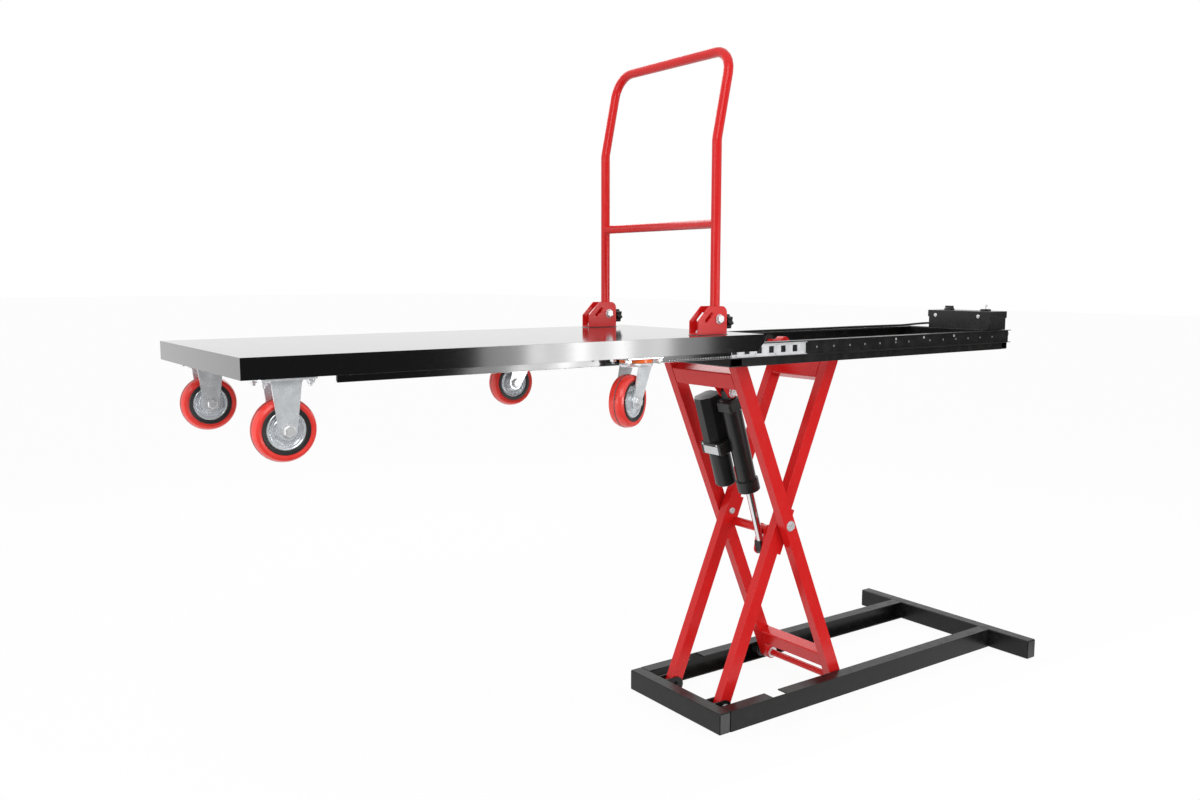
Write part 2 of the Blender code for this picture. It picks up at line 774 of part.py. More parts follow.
def build_actuator(parent, frame):
    def at(distance):
        return ACTUATOR_LENGTH - distance

    bore = ROD_RADIUS + 0.5
    cap = TUBE_END - CAP_LENGTH
    profile = [
        (0, at(TUBE_START)), (TUBE_RADIUS, at(TUBE_START)),
        (TUBE_RADIUS, at(cap)), (CAP_RADIUS, at(cap)),
        (CAP_RADIUS, at(TUBE_END - 2)), (CAP_RADIUS - 2, at(TUBE_END)),
        (bore, at(TUBE_END)), (bore, at(cap + 8)),
        (TUBE_BORE, at(cap + 8)), (TUBE_BORE, at(FLANGE_END + 8)),
        (0, at(FLANGE_END + 8)),
    ]
    tube = turned(profile, "x", (0, ACTUATOR_Y, 0), 28)
    wide = TUBE_RADIUS + 1.5
    flange = box(
        (at(FLANGE_END), at(TUBE_START - 4)),
        (ACTUATOR_Y - wide, ACTUATOR_Y + wide), (-wide, wide), 6,
    )
    outline = hull(
        ring(at(0), 0, REAR_EYE_RADIUS, 20),
        [(at(TUBE_START + 4), -REAR_EYE_RADIUS), (at(TUBE_START + 4), REAR_EYE_RADIUS)],
    )
    half = REAR_EYE_WIDTH / 2
    eye = plate(
        "y", outline, (ACTUATOR_Y - half, ACTUATOR_Y + half),
        [ring(at(0), 0, BOLT_HOLE)],
    )
    tube = joined(tube, flange, eye)
    node("actuator_tube", parent, "satin_black", tube, frame=frame)

    low_y, high_y = DRIVE_Y - COVER_WIDTH / 2, DRIVE_Y + COVER_WIDTH / 2
    low_z = DRIVE_ASIDE - COVER_DEPTH / 2
    high_z = DRIVE_ASIDE + COVER_DEPTH / 2
    c = COVER_CHAMFER
    outline = [
        (low_y + c / 2, low_z), (high_y - c / 2, low_z), (high_y, low_z + c / 2),
        (high_y, high_z - c), (high_y - c, high_z), (low_y + c, high_z),
        (low_y, high_z - c), (low_y, low_z + c / 2),
    ]
    cover = plate("x", outline, (at(COVER_END), at(COVER_START)))
    node("gearbox_cover", parent, "satin_black", cover, frame=frame)

    housing = box(
        (at(HOUSING_END), at(COVER_END) - GAP),
        (ACTUATOR_Y + TUBE_RADIUS - 8, high_y), (low_z + 2, high_z - 2), 3,
    )
    saddle = span_rod(
        "x", (ACTUATOR_Y, 0), (at(HOUSING_END) - 5, at(COVER_END) + 5),
        TUBE_RADIUS + GAP, 28,
    )
    node("gear_housing", parent, "satin_black", cut(housing, saddle), frame=frame)

    start, end = at(HOUSING_END) - GAP, at(MOTOR_END)
    profile = [
        (0, start), (MOTOR_RADIUS, start), (MOTOR_RADIUS, end + 6),
        (MOTOR_RADIUS - 5, end), (0, end),
    ]
    motor = turned(profile, "x", (0, DRIVE_Y, DRIVE_ASIDE))
    node("actuator_motor", parent, "satin_black", motor, frame=frame)


# Upper frame and control box

def build_upper_frame(parent):
    z = (UPPER_Z, UPPER_TOP)
    width = (-HALF_WIDTH, HALF_WIDTH)
    front_end = UPPER_START + TUBE_DEPTH
    front = hollow("y", (UPPER_START, front_end), width, z)
    for side in SIDES.values():
        front = joined(
            front, *pivot_lugs(side, front_end, TOP_PIVOT_Z, OUTER_LEG_Y, 1.5)
        )
    node("upper_front_tube", parent, "black_paint", front)

    rear_start = UPPER_END - UPPER_REAR_DEPTH
    for name, side in SIDES.items():
        rail = channel(
            side, (front_end + GAP, rear_start - GAP), UPPER_Z, CHANNEL_WALL
        )
        node(f"upper_rail_{name}", parent, "black_paint", rail)
    rear = hollow("y", (rear_start, UPPER_END), width, z)
    node("upper_rear_tube", parent, "black_paint", rear)

    reach = UPPER_END + PUSH_HANDLE_REACH - PUSH_HANDLE_RADIUS
    rise = UPPER_Z + PUSH_HANDLE_RISE
    corners = [
        (UPPER_END + GAP, -PUSH_HANDLE_Y, rise), (reach, -PUSH_HANDLE_Y, rise),
        (reach, PUSH_HANDLE_Y, rise), (UPPER_END + GAP, PUSH_HANDLE_Y, rise),
    ]
    path = [
        corners[0], *rounded_corner(*corners[0:3], PUSH_HANDLE_BEND),
        *rounded_corner(*corners[1:4], PUSH_HANDLE_BEND), corners[3],
    ]
    node("push_handle", parent, "black_paint", bar(path, PUSH_HANDLE_RADIUS))


def build_control_box(parent):
    x = (BOX_START, BOX_START + BOX_LENGTH)
    y = (BOX_NEAR, BOX_FAR)
    foot = UPPER_TOP + GAP
    top = foot + BOX_HEIGHT
    case = box(x, y, (foot, top), 1)
    node("control_box", parent, "satin_black", case)

    lip = BOX_SHEET + GAP
    lid = box(
        (x[0] - lip, x[1] + lip), (y[0] - lip, y[1] + lip),
        (top - BOX_LID_SKIRT, top + lip), 0.8,
    )
    inside = box(
        (x[0] - GAP, x[1] + GAP), (y[0] - GAP, y[1] + GAP),
        (top - BOX_LID_SKIRT - 1, top + GAP),
    )
    lid = cut(lid, inside)
    lid_top = top + lip
    middle = sum(x) / 2
    bush = span_rod("z", (middle, TOGGLE_Y), (lid_top - 1, lid_top + 3), TOGGLE_RADIUS)
    node("control_box_lid", parent, "satin_black", joined(lid, bush))

    turn = body("power_knob_axis", parent, (middle, KNOB_Y, lid_top))
    profile = [
        (0, 0), (KNOB_RADIUS, 0), (KNOB_RADIUS, 3), (KNOB_RADIUS - 3, 8),
        (KNOB_RADIUS - 8, KNOB_HEIGHT - 4), (0, KNOB_HEIGHT - 4),
    ]
    knob = turned(profile, "z", (middle, KNOB_Y, lid_top + GAP), 24)
    grip = box(
        (middle - 4, middle + 4), (KNOB_Y - KNOB_RADIUS + 2, KNOB_Y + KNOB_RADIUS - 2),
        (lid_top + 2, lid_top + GAP + KNOB_HEIGHT), 1,
    )
    node("power_knob", turn, "black_plastic", joined(knob, grip))

    pivot = lid_top + 3 + GAP
    tilt = body(
        "toggle_axis", parent, (middle, TOGGLE_Y, pivot), (0, TOGGLE_TILT, 0)
    )
    profile = [(0, 0), (2.2, 0), (3.2, TOGGLE_LEVER - 2), (2.4, TOGGLE_LEVER), (0, TOGGLE_LEVER)]
    lever = turned(profile, "z", (0, 0, 1), 12)
    node("toggle_lever", tilt, "zinc", lever, frame=tilt)

    gland_z = foot + GLAND_LIFT
    start = y[1] + GAP
    profile = [
        (0, start), (GLAND_RADIUS, start), (GLAND_RADIUS, start + 8),
        (GLAND_RADIUS - 2, start + 8), (GLAND_RADIUS - 2, start + GLAND_LENGTH),
        (0, start + GLAND_LENGTH),
    ]
    gland = turned(profile, "y", (middle, 0, gland_z), 16)

    lie = UPPER_TOP + GAP + CABLE_RADIUS
    edge, front = HALF_WIDTH, UPPER_START
    route = [
        (middle, start + GLAND_LENGTH - 3, gland_z),
        (middle - 2, 92, gland_z - 1),
        (middle - 16, 125, lie + 6),
        (middle - 50, edge - 42, lie + 1),
        (middle - 110, edge - 24, lie),
        (middle - 260, edge - 17, lie),
        (middle - 480, edge - 22, lie),
        (middle - 700, edge - 16, lie),
        (middle - 900, edge - 22, lie),
        (middle - 1070, edge - 19, lie),
        (front + 12, edge - 20, lie),
    ]
    cable = bar(smooth_path(route, 7), CABLE_RADIUS, 8)
    node("control_cable", parent, "cable_rubber", joined(gland, cable))


# Telescopic slides

def slide_channel(side, x, start, width, z, sheet):
    """A thin channel that opens outwards, with its web towards the frame."""
    member = box(x, across(side, start, start + width), z)
    space = box(
        (x[0] - 1, x[1] + 1), across(side, start + sheet, start + width + 1),
        (z[0] + sheet, z[1] - sheet),
    )
    return cut(member, space)


def web_holes(side, x, web_y, z):
    """Blocks for the square holes along a slide member's web."""
    half = WEB_HOLE / 2
    count = int((x[1] - x[0] - WEB_HOLE_PITCH) // WEB_HOLE_PITCH) + 1
    first = (x[0] + x[1] - (count - 1) * WEB_HOLE_PITCH) / 2
    web = across(side, web_y - 1, web_y + SLIDE_SHEET + 1)
    return [
        box((at - half, at + half), web, (z - half, z + half))
        for at in [first + i * WEB_HOLE_PITCH for i in range(count)]
    ]


def build_slides(upper, deck):
    outer_y = HALF_WIDTH + GAP
    middle_y = outer_y + SLIDE_SHEET + GAP
    inner_y = middle_y + SLIDE_SHEET + GAP
    rail_y = outer_y + SLIDE_OUTER_WIDTH + GAP
    z = (SLIDE_Z, SLIDE_Z + SLIDE_HEIGHT)
    middle_z = (z[0] + SLIDE_STEP, z[1] - SLIDE_STEP)
    inner_z = (z[0] + 2 * SLIDE_STEP, z[1] - 2 * SLIDE_STEP)
    middle_x = (SLIDE_MIDDLE_START, SLIDE_MIDDLE_END)
    rail_x = (DECK_RAIL_START, DECK_RAIL_END)
    top = DECK_UNDER - GAP
    middle = body("slide_middle_axis", upper, (SLIDE_MIDDLE_START, 0, SLIDE_Z))
    for name, side in SIDES.items():
        member = slide_channel(
            side, (UPPER_START, UPPER_END), outer_y, SLIDE_OUTER_WIDTH, z, SLIDE_SHEET
        )
        node(f"slide_outer_{name}", upper, "black_paint", member)
        member = slide_channel(
            side, middle_x, middle_y, SLIDE_MIDDLE_WIDTH, middle_z, SLIDE_SHEET
        )
        holes = web_holes(side, middle_x, middle_y, sum(middle_z) / 2)
        node(f"slide_middle_{name}", middle, "zinc", cut(member, *holes))
        member = box(
            (rail_x[0] + 2, rail_x[1] - 2), across(side, inner_y, rail_y + 1), inner_z
        )
        web = across(side, rail_y, rail_y + DECK_RAIL_SHEET)
        flange = across(side, rail_y + 1, rail_y + DECK_RAIL_FLANGE)
        rail = joined(
            box(rail_x, web, (SLIDE_Z + 4, top)),
            box(rail_x, flange, (top - DECK_RAIL_SHEET, top)), member,
        )
        node(f"deck_rail_{name}", deck, "black_paint", rail)


# Deck

def build_deck(deck):
    half = DECK_HALF
    outline = [
        (DECK_START, SKIRT_Z), (DECK_END - SKIRT_CHAMFER, SKIRT_Z),
        (DECK_END, SKIRT_Z + SKIRT_CHAMFER), (DECK_END, DECK_TOP),
        (DECK_START, DECK_TOP),
    ]
    tray = plate("y", outline, (-half, half))
    space = box(
        (DECK_START + DECK_SHEET, DECK_END + 1),
        (-half + DECK_SHEET, half - DECK_SHEET), (SKIRT_Z - 1, DECK_UNDER),
    )
    tray = cut(tray, space)
    tube_x = (DECK_START + DECK_SHEET + 4, DECK_RAIL_END)
    tube_y = (CASTER_Y - DECK_TUBE_WIDTH / 2, CASTER_Y + DECK_TUBE_WIDTH / 2)
    for side in SIDES.values():
        tube = hollow("x", tube_x, across(side, *tube_y), (SKIRT_Z, DECK_UNDER + 1))
        tray = joined(tray, tube)
    for side in SIDES.values():
        seat = box(
            (BRACKET_START - SEAT_EDGE, BRACKET_END + SEAT_EDGE),
            across(side, POST_Y - BRACKET_HALF - SEAT_EDGE, POST_Y + BRACKET_HALF + SEAT_EDGE),
            (DECK_UNDER + BITE, SEAT_TOP),
        )
        tray = joined(tray, seat)
    node("deck_tray", deck, "black_paint", tray)


def bracket_cheek(side_y, offset, outline, holes):
    faces = (side_y + offset, side_y + math.copysign(abs(offset) + BRACKET_SHEET, offset))
    return plate("y", outline, faces, holes)


def build_handle_bracket(side):
    """The U-bracket that holds one post of the folding handle."""
    foot = SEAT_TOP + GAP
    top = DECK_TOP + BRACKET_RISE
    r = BRACKET_CORNER
    corner = [
        (BRACKET_END - r + r * math.cos(a), top - r + r * math.sin(a))
        for a in [math.pi / 2 * i / 5 for i in range(6)]
    ]
    outline = [
        (BRACKET_START, foot), (BRACKET_END, foot), *corner,
        (BRACKET_START + BRACKET_CHAMFER, top),
        (BRACKET_START, top - BRACKET_CHAMFER),
    ]
    slot = hull(
        ring(POST_X - 26, HANDLE_PIVOT_Z + 12, 5, 12),
        ring(POST_X - 42, HANDLE_PIVOT_Z - 3, 5, 12),
    )
    middle = side * POST_Y
    clear = POST_RADIUS + POST_CLEARANCE
    cheeks = [
        bracket_cheek(middle, offset, outline, [slot])
        for offset in (-clear, clear)
    ]
    wide = clear + BRACKET_SHEET / 2
    across_y = (middle - wide, middle + wide)
    floor = box((BRACKET_START, BRACKET_END), across_y, (foot, foot + BRACKET_SHEET))
    back = box((BRACKET_END - BRACKET_SHEET, BRACKET_END), across_y, (foot, top - r))
    head = middle - clear - BRACKET_SHEET + BITE
    nut = middle + clear + BRACKET_SHEET - BITE
    pin = bolt(
        "y", (POST_X, HANDLE_PIVOT_Z), head, nut + 7, PLATE_BOLT_RADIUS, 9, 5, nut
    )
    bracket = joined(cheeks[0], floor, back, cheeks[1], pin)
    stud = span_rod(
        "x", (middle, DECK_TOP + KNOB_STUD_RISE),
        (BRACKET_END - BRACKET_SHEET - 2, BRACKET_END + 2), 4.6, 16,
    )
    return cut(bracket, stud)


def build_brackets(deck):
    for name, side in SIDES.items():
        bracket = build_handle_bracket(side)
        node(f"handle_bracket_{name}", deck, "red_paint", bracket)


def build_handle(parent):
    top = DECK_TOP + HANDLE_RISE
    bend = DECK_TOP + POST_BEND_RISE
    lean = (top - bend) * math.tan(HANDLE_LEAN)
    low = [(POST_X, -POST_Y, HANDLE_PIVOT_Z - POST_TAIL), (POST_X, -POST_Y, bend)]
    corners = [(POST_X + lean, -POST_Y, top), (POST_X + lean, POST_Y, top)]
    high = [(x, -y, z) for x, y, z in low[::-1]]
    points = [*low, *corners, *high]
    path = [
        points[0],
        *rounded_corner(*points[0:3], HANDLE_CORNER, 2),
        *rounded_corner(*points[1:4], HANDLE_CORNER, 6),
        *rounded_corner(*points[2:5], HANDLE_CORNER, 6),
        *rounded_corner(*points[3:6], HANDLE_CORNER, 2),
        points[5],
    ]
    tube = bar(path, POST_RADIUS, 16)
    for side in SIDES.values():
        middle = side * POST_Y
        pin = span_rod(
            "y", (POST_X, HANDLE_PIVOT_Z), (middle - 20, middle + 20),
            PLATE_BOLT_RADIUS + 0.4, 16,
        )
        tube = cut(tube, pin)
    crossbar = span_rod(
        "y", (POST_X, DECK_TOP + CROSSBAR_RISE),
        (-POST_Y + 4, POST_Y - 4), POST_RADIUS - 1, 16,
    )
    node("folding_handle", parent, "red_paint", joined(tube, crossbar))


def star_knob(side):
    """A lobed hand knob with its screw, along x."""
    count = STAR_KNOB_LOBES * 8
    middle, rise = side * POST_Y, DECK_TOP + KNOB_STUD_RISE
    outline = []
    for i in range(count):
        a = 2 * math.pi * i / count
        r = STAR_KNOB_RADIUS - 2.5 + 2.5 * math.cos(STAR_KNOB_LOBES * a)
        outline.append((middle + r * math.sin(a), rise + r * math.cos(a)))
    start = BRACKET_END + GAP
    grip_x = start + STAR_KNOB_STEM
    grip = plate("x", outline, (grip_x, grip_x + STAR_KNOB_WIDTH))
    stem = span_rod("x", (middle, rise), (start, grip_x + 3), 8.7, 18)
    screw = span_rod(
        "x", (middle, rise), (BRACKET_END - BRACKET_SHEET, start + 2), 4, 16
    )
    return joined(grip, stem, screw)


# Casters, each in its own frame at the wheel plate

def fork_cheeks(offset, top_z):
    """Fork sides that taper from the crown to the axle bolt they clamp."""
    outline = hull(
        ring(offset, AXLE_Z, FORK_FOOT, 20),
        [(-FORK_TOP / 2, top_z), (FORK_TOP / 2, top_z)],
    )
    inner = WHEEL_WIDTH / 2 + 3
    sides = [
        plate("y", outline, (side * inner, side * (inner + FORK_SHEET)))
        for side in SIDES.values()
    ]
    wide = inner + FORK_SHEET - BITE
    axle = bolt(
        "y", (offset, AXLE_Z), -wide, wide + 10, AXLE_BOLT_RADIUS, 9.5, 6, wide
    )
    return [*sides, axle]


def fork_crown(top_z, height):
    wide = WHEEL_WIDTH / 2 + 3 + FORK_SHEET + BITE
    half = FORK_TOP / 2 + BITE
    return box((-half, half), (-wide, wide), (top_z - height, top_z))


def mounting_plate():
    outline = [
        (sx * (PLATE_LENGTH / 2 - cx), sy * (PLATE_WIDTH / 2 - cy))
        for sx, sy, cx, cy in (
            (-1, -1, 6, 0), (1, -1, 6, 0), (1, -1, 0, 6), (1, 1, 0, 6),
            (1, 1, 6, 0), (-1, 1, 6, 0), (-1, 1, 0, 6), (-1, -1, 0, 6),
        )
    ]
    holes = [
        ring(dx, dy, PLATE_BOLT_RADIUS + 0.4)
        for dx in (-PLATE_BOLT_X, PLATE_BOLT_X)
        for dy in (-PLATE_BOLT_Y, PLATE_BOLT_Y)
    ]
    return plate("z", outline, (PLATE_UNDER, PLATE_TOP), holes)


def moved(piece, x, y):
    piece.matrix_world = Matrix.Translation((x, y, 0))
    return baked(piece)


def build_wheel(label, parent, frame, at):
    """A wheel core with its bonded tyre, turned about the axle."""
    half = WHEEL_WIDTH / 2
    r, c, d, h = WHEEL_RADIUS, CORE_RADIUS, DISH_RADIUS, HUB_RADIUS
    bore = AXLE_BOLT_RADIUS + 0.4
    front = [
        (bore, -half - 2.5), (h, -half - 2.5), (h + 3, -7), (d - 6, -6), (d, -half + 3),
        (c, -half + 2), (r - 12, -half), (r - 4, -half + 3), (r, -half + 11),
    ]
    profile = [*front, *[(radius, -y) for radius, y in front[::-1]]]
    wheel = turned(profile, "y", (*at, AXLE_Z), 28)
    node(label, parent, "polyurethane", wheel, frame=frame)


def build_rigid_casters(deck):
    for name, side in SIDES.items():
        top = PLATE_UNDER + 1
        fork = joined(mounting_plate(), fork_crown(top, 6), *fork_cheeks(0, top - 2))
        at = (RIGID_X, side * CASTER_Y)
        node(f"rigid_fork_{name}", deck, "zinc", moved(fork, *at))
        axle = body(f"rigid_wheel_{name}_axis", deck, (*at, AXLE_Z))
        build_wheel(f"rigid_wheel_{name}", axle, TROLLEY, at)


def build_swivel_casters(deck):
    turns = {"near": NEAR_SWIVEL_TURN, "far": 0.0}
    race_z = PLATE_UNDER - RACE_HEIGHT
    crown_top = race_z - GAP
    r = RACE_RADIUS
    for name, side in SIDES.items():
        spot = (SWIVEL_X, side * CASTER_Y)
        race = span_rod("z", (0, 0), (race_z, PLATE_UNDER + 1), r - 4, 24)
        top_plate = moved(joined(mounting_plate(), race), *spot)
        node(f"swivel_plate_{name}", deck, "zinc", top_plate)
        turn = (0, 0, turns[name])
        kingpin = body(f"swivel_{name}_axis", deck, (*spot, 0), turn)
        profile = [
            (0, crown_top), (r, crown_top), (r + 2, crown_top - 4),
            (r, crown_top - 8), (0, crown_top - 8),
        ]
        crown = turned(profile, "z", (0, 0, 0))
        cheeks = fork_cheeks(-CASTER_TRAIL, crown_top - 6)
        fork = joined(crown, *cheeks, fork_crown(crown_top - 3, 7))
        node(f"swivel_fork_{name}", kingpin, "zinc", fork, frame=kingpin)
        dx = -CASTER_TRAIL * math.cos(turns[name])
        dy = -CASTER_TRAIL * math.sin(turns[name])
        axle = body(
            f"swivel_wheel_{name}_axis", kingpin,
            (spot[0] + dx, spot[1] + dy, AXLE_Z), turn,
        )
        build_wheel(f"swivel_wheel_{name}", axle, kingpin, (-CASTER_TRAIL, 0))


def build_trolley():
    build_base()
    inner = body(
        "inner_frame", TROLLEY, (PIVOT_X, 0, PIVOT_Z), (0, -LEG_ANGLE, 0)
    )
    crossing = ((PIVOT_X + ROLLER_X) / 2, 0, PIVOT_Z + PLATFORM_RISE / 2)
    outer = body("outer_frame", inner, crossing, (0, LEG_ANGLE, 0))
    build_inner_frame(inner)
    build_outer_frame(outer)
    build_rollers(outer, inner)

    turn = (0, -ACTUATOR_ANGLE, 0)
    rod_body = body("actuator_rod_axis", inner, (ROD_PIN[0], 0, ROD_PIN[1]), turn)
    tube_body = body(
        "actuator_body_axis", rod_body, (REAR_PIN[0], 0, REAR_PIN[1]), turn
    )
    build_rod(rod_body)
    build_actuator(tube_body, rod_body)

    upper = body("upper_frame", outer, (PIVOT_X, 0, TOP_PIVOT_Z))
    build_upper_frame(upper)
    build_control_box(upper)
    deck = body("deck", upper, (DECK_START, 0, DECK_TOP))
    build_slides(upper, deck)
    build_deck(deck)
    build_brackets(deck)

    hinge = body("folding_handle_axis", deck, (POST_X, 0, HANDLE_PIVOT_Z))
    build_handle(hinge)
    for name, side in SIDES.items():
        spot = (BRACKET_END, side * POST_Y, DECK_TOP + KNOB_STUD_RISE)
        axis = body(f"star_knob_{name}_axis", deck, spot)
        node(f"star_knob_{name}", axis, "black_plastic", star_knob(side))
    build_rigid_casters(deck)
    build_swivel_casters(deck)


build_trolley()
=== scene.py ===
"""The looks of the electric lifting trolley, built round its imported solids."""
import json
import math

import bpy
from mathutils import Matrix, Vector


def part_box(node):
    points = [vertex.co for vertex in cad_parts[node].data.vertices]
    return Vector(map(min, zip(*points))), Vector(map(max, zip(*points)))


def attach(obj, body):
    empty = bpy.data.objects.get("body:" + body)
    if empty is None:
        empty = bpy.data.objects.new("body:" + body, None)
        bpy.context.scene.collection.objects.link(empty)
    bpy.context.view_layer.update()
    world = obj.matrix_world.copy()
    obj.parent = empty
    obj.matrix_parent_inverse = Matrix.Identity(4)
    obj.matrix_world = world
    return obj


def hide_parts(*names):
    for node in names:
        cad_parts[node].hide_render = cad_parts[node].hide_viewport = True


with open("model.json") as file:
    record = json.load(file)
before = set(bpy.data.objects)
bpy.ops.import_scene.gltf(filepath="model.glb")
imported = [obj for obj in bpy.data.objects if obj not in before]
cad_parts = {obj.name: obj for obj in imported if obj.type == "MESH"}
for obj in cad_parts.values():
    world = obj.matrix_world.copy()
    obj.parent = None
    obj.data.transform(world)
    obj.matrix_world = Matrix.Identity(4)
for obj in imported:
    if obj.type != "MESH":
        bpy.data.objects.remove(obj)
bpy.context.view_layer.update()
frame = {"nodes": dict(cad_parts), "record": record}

MM = 0.001

# The photo's camera: millimetres from the base's front, and radians
IMAGE_WIDTH = 1200
FOCAL_PIXELS = 1057
SENSOR_WIDTH = 36
CAMERA_SPOT = (-1833, -2233, 1238)
CAMERA_TURN = 0.6157
CAMERA_DIP = 0.1193

BEHAVIOUR = frame["record"]["behaviour"]
BODY_OF = {
    node: body for body, nodes in BEHAVIOUR["bodies"].items() for node in nodes
}
SLOT_OF = {
    part["node"]: part["material_slot"] for part in frame["record"]["subparts"]
}
JOINT_INTO = {joint["child"]: joint for joint in BEHAVIOUR["joints"]}


def low(node):
    return Vector(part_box(node)[0])


def high(node):
    return Vector(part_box(node)[1])


def middle(node):
    return (low(node) + high(node)) / 2


BASE_START = low("base_front_tube").x / MM


def at(x, y, z):
    """A point of the trolley's own frame, in millimetres from the base's front."""
    return Vector((BASE_START + x, y, z)) * MM


# Shader building

class Value:
    """A number socket that takes part in Python arithmetic."""

    def __init__(self, build, socket):
        self.build = build
        self.socket = socket

    def maths(self, operation, other):
        node = self.build.node(
            "ShaderNodeMath", {"operation": operation}, {0: self, 1: other}
        )
        return Value(self.build, node.outputs[0])

    def __add__(self, other):
        return self.maths("ADD", other)

    def __mul__(self, other):
        return self.maths("MULTIPLY", other)

    def span(self, start, end):
        """The value's stretch from 0 to 1, held there beyond both ends."""
        node = self.build.node(
            "ShaderNodeMapRange", {"clamp": True},
            {0: self, 1: start, 2: end, 3: 0, 4: 1},
        )
        return Value(self.build, node.outputs[0])


class Build:
    """The node tree of one finish."""

    def __init__(self, name):
        self.material = bpy.data.materials.new(name)
        self.material.use_nodes = True
        self.tree = self.material.node_tree
        self.shader = self.tree.nodes["Principled BSDF"]
        self.place = self.node("ShaderNodeTexCoord").outputs["Object"]

    def feed(self, socket, value):
        if isinstance(value, Value):
            value = value.socket
        if isinstance(value, bpy.types.NodeSocket):
            self.tree.links.new(value, socket)
        elif socket.type == "RGBA" and len(value) == 3:
            socket.default_value = (*value, 1)
        else:
            socket.default_value = value

    def node(self, kind, settings=None, inputs=None):
        made = self.tree.nodes.new(kind)
        for key, value in (settings or {}).items():
            setattr(made, key, value)
        for key, value in (inputs or {}).items():
            self.feed(made.inputs[key], value)
        return made

    def noise(self, scale, detail, stretch=(1, 1, 1)):
        mapped = self.node(
            "ShaderNodeMapping", {}, {"Vector": self.place, "Scale": stretch}
        )
        made = self.node(
            "ShaderNodeTexNoise", {},
            {"Vector": mapped.outputs[0], "Scale": scale, "Detail": detail},
        )
        return Value(self, made.outputs[0])

    def blend(self, factor, first, second):
        made = self.node("ShaderNodeMix", {"data_type": "RGBA"}, {0: factor})
        self.feed(made.inputs[6], first)
        self.feed(made.inputs[7], second)
        return made.outputs[2]

    def bump(self, height, strength, distance):
        made = self.node(
            "ShaderNodeBump", {},
            {"Height": height, "Strength": strength, "Distance": distance},
        )
        self.feed(self.shader.inputs["Normal"], made.outputs[0])

    def dull(self, level):
        """A weaker mirror under the finish than bare lacquer has."""
        self.shader.inputs["Specular IOR Level"].default_value = level

    def set(self, **values):
        for name, value in values.items():
            socket = self.shader.inputs[name.replace("_", " ").title()]
            self.feed(socket, value)
        return self.material

    def colour(self, value):
        self.feed(self.shader.inputs["Base Color"], value)


def gloss_red_paint():
    paint = Build("gloss_red_paint")
    drift = paint.noise(6, 2).span(0.35, 0.65)
    paint.colour(paint.blend(drift, (0.62, 0.011, 0.011), (0.66, 0.013, 0.013)))
    paint.dull(0.32)
    return paint.set(
        roughness=paint.noise(40, 3).span(0.3, 0.7) * 0.08 + 0.20,
        coat_weight=0.05, coat_roughness=0.06,
    )


def gloss_black_paint(name, film):
    """Dark lacquer under a clear film of a given weight, with some dust."""
    paint = Build(name)
    dust = paint.noise(90, 5).span(0.55, 0.8)
    paint.colour(paint.blend(dust * 0.2, (0.003, 0.003, 0.0035), (0.012, 0.012, 0.012)))
    return paint.set(
        roughness=dust * 0.06 + 0.10, coat_weight=film, coat_roughness=0.08,
    )


def satin_black_paint():
    paint = Build("satin_black_paint")
    dust = paint.noise(35, 5).span(0.45, 0.75)
    grain = paint.noise(900, 2)
    paint.colour(paint.blend(dust * 0.4, (0.008, 0.008, 0.008), (0.026, 0.025, 0.024)))
    paint.bump(grain, 0.08, 0.0004)
    paint.dull(0.25)
    return paint.set(roughness=dust * 0.16 + 0.28, coat_weight=0.05)


def zinc_plate(name, tone, sheen):
    metal = Build(name)
    patch = metal.noise(55, 4).span(0.3, 0.7)
    fine = metal.noise(700, 2, (1, 1, 0.2))
    metal.colour(metal.blend(patch, [c * 0.86 for c in tone], tone))
    metal.bump(fine, 0.08, 0.0003)
    return metal.set(metallic=0.5, roughness=patch * 0.12 + sheen)


def chrome_plate():
    metal = Build("chrome_plate")
    patch = metal.noise(30, 2)
    metal.colour(metal.blend(patch, (0.72, 0.73, 0.75), (0.82, 0.82, 0.83)))
    return metal.set(metallic=1.0, roughness=metal.noise(60, 2) * 0.05 + 0.07)


def cast_polyurethane(name, colour, deep):
    plastic = Build(name)
    mottle = plastic.noise(48, 3).span(0.3, 0.7)
    plastic.colour(plastic.blend(mottle, deep, colour))
    plastic.bump(plastic.noise(300, 2), 0.06, 0.0005)
    return plastic.set(roughness=mottle * 0.08 + 0.30, coat_weight=0.3)


def moulded_black(name, tone, roughness):
    """A fine-grained dark surface, lighter where it is scuffed."""
    plastic = Build(name)
    grain = plastic.noise(1400, 2)
    scuff = plastic.noise(24, 4).span(0.5, 0.8)
    plastic.colour(plastic.blend(scuff * 0.4, (tone, tone, tone), [tone * 2.6] * 3))
    plastic.bump(grain, 0.16, 0.0003)
    return plastic.set(roughness=scuff * 0.12 + roughness)


def bare_label():
    film = Build("bare_label_film")
    film.colour(film.blend(film.noise(80, 3), (0.60, 0.61, 0.62), (0.74, 0.75, 0.76)))
    return film.set(roughness=film.noise(200, 2) * 0.1 + 0.30)


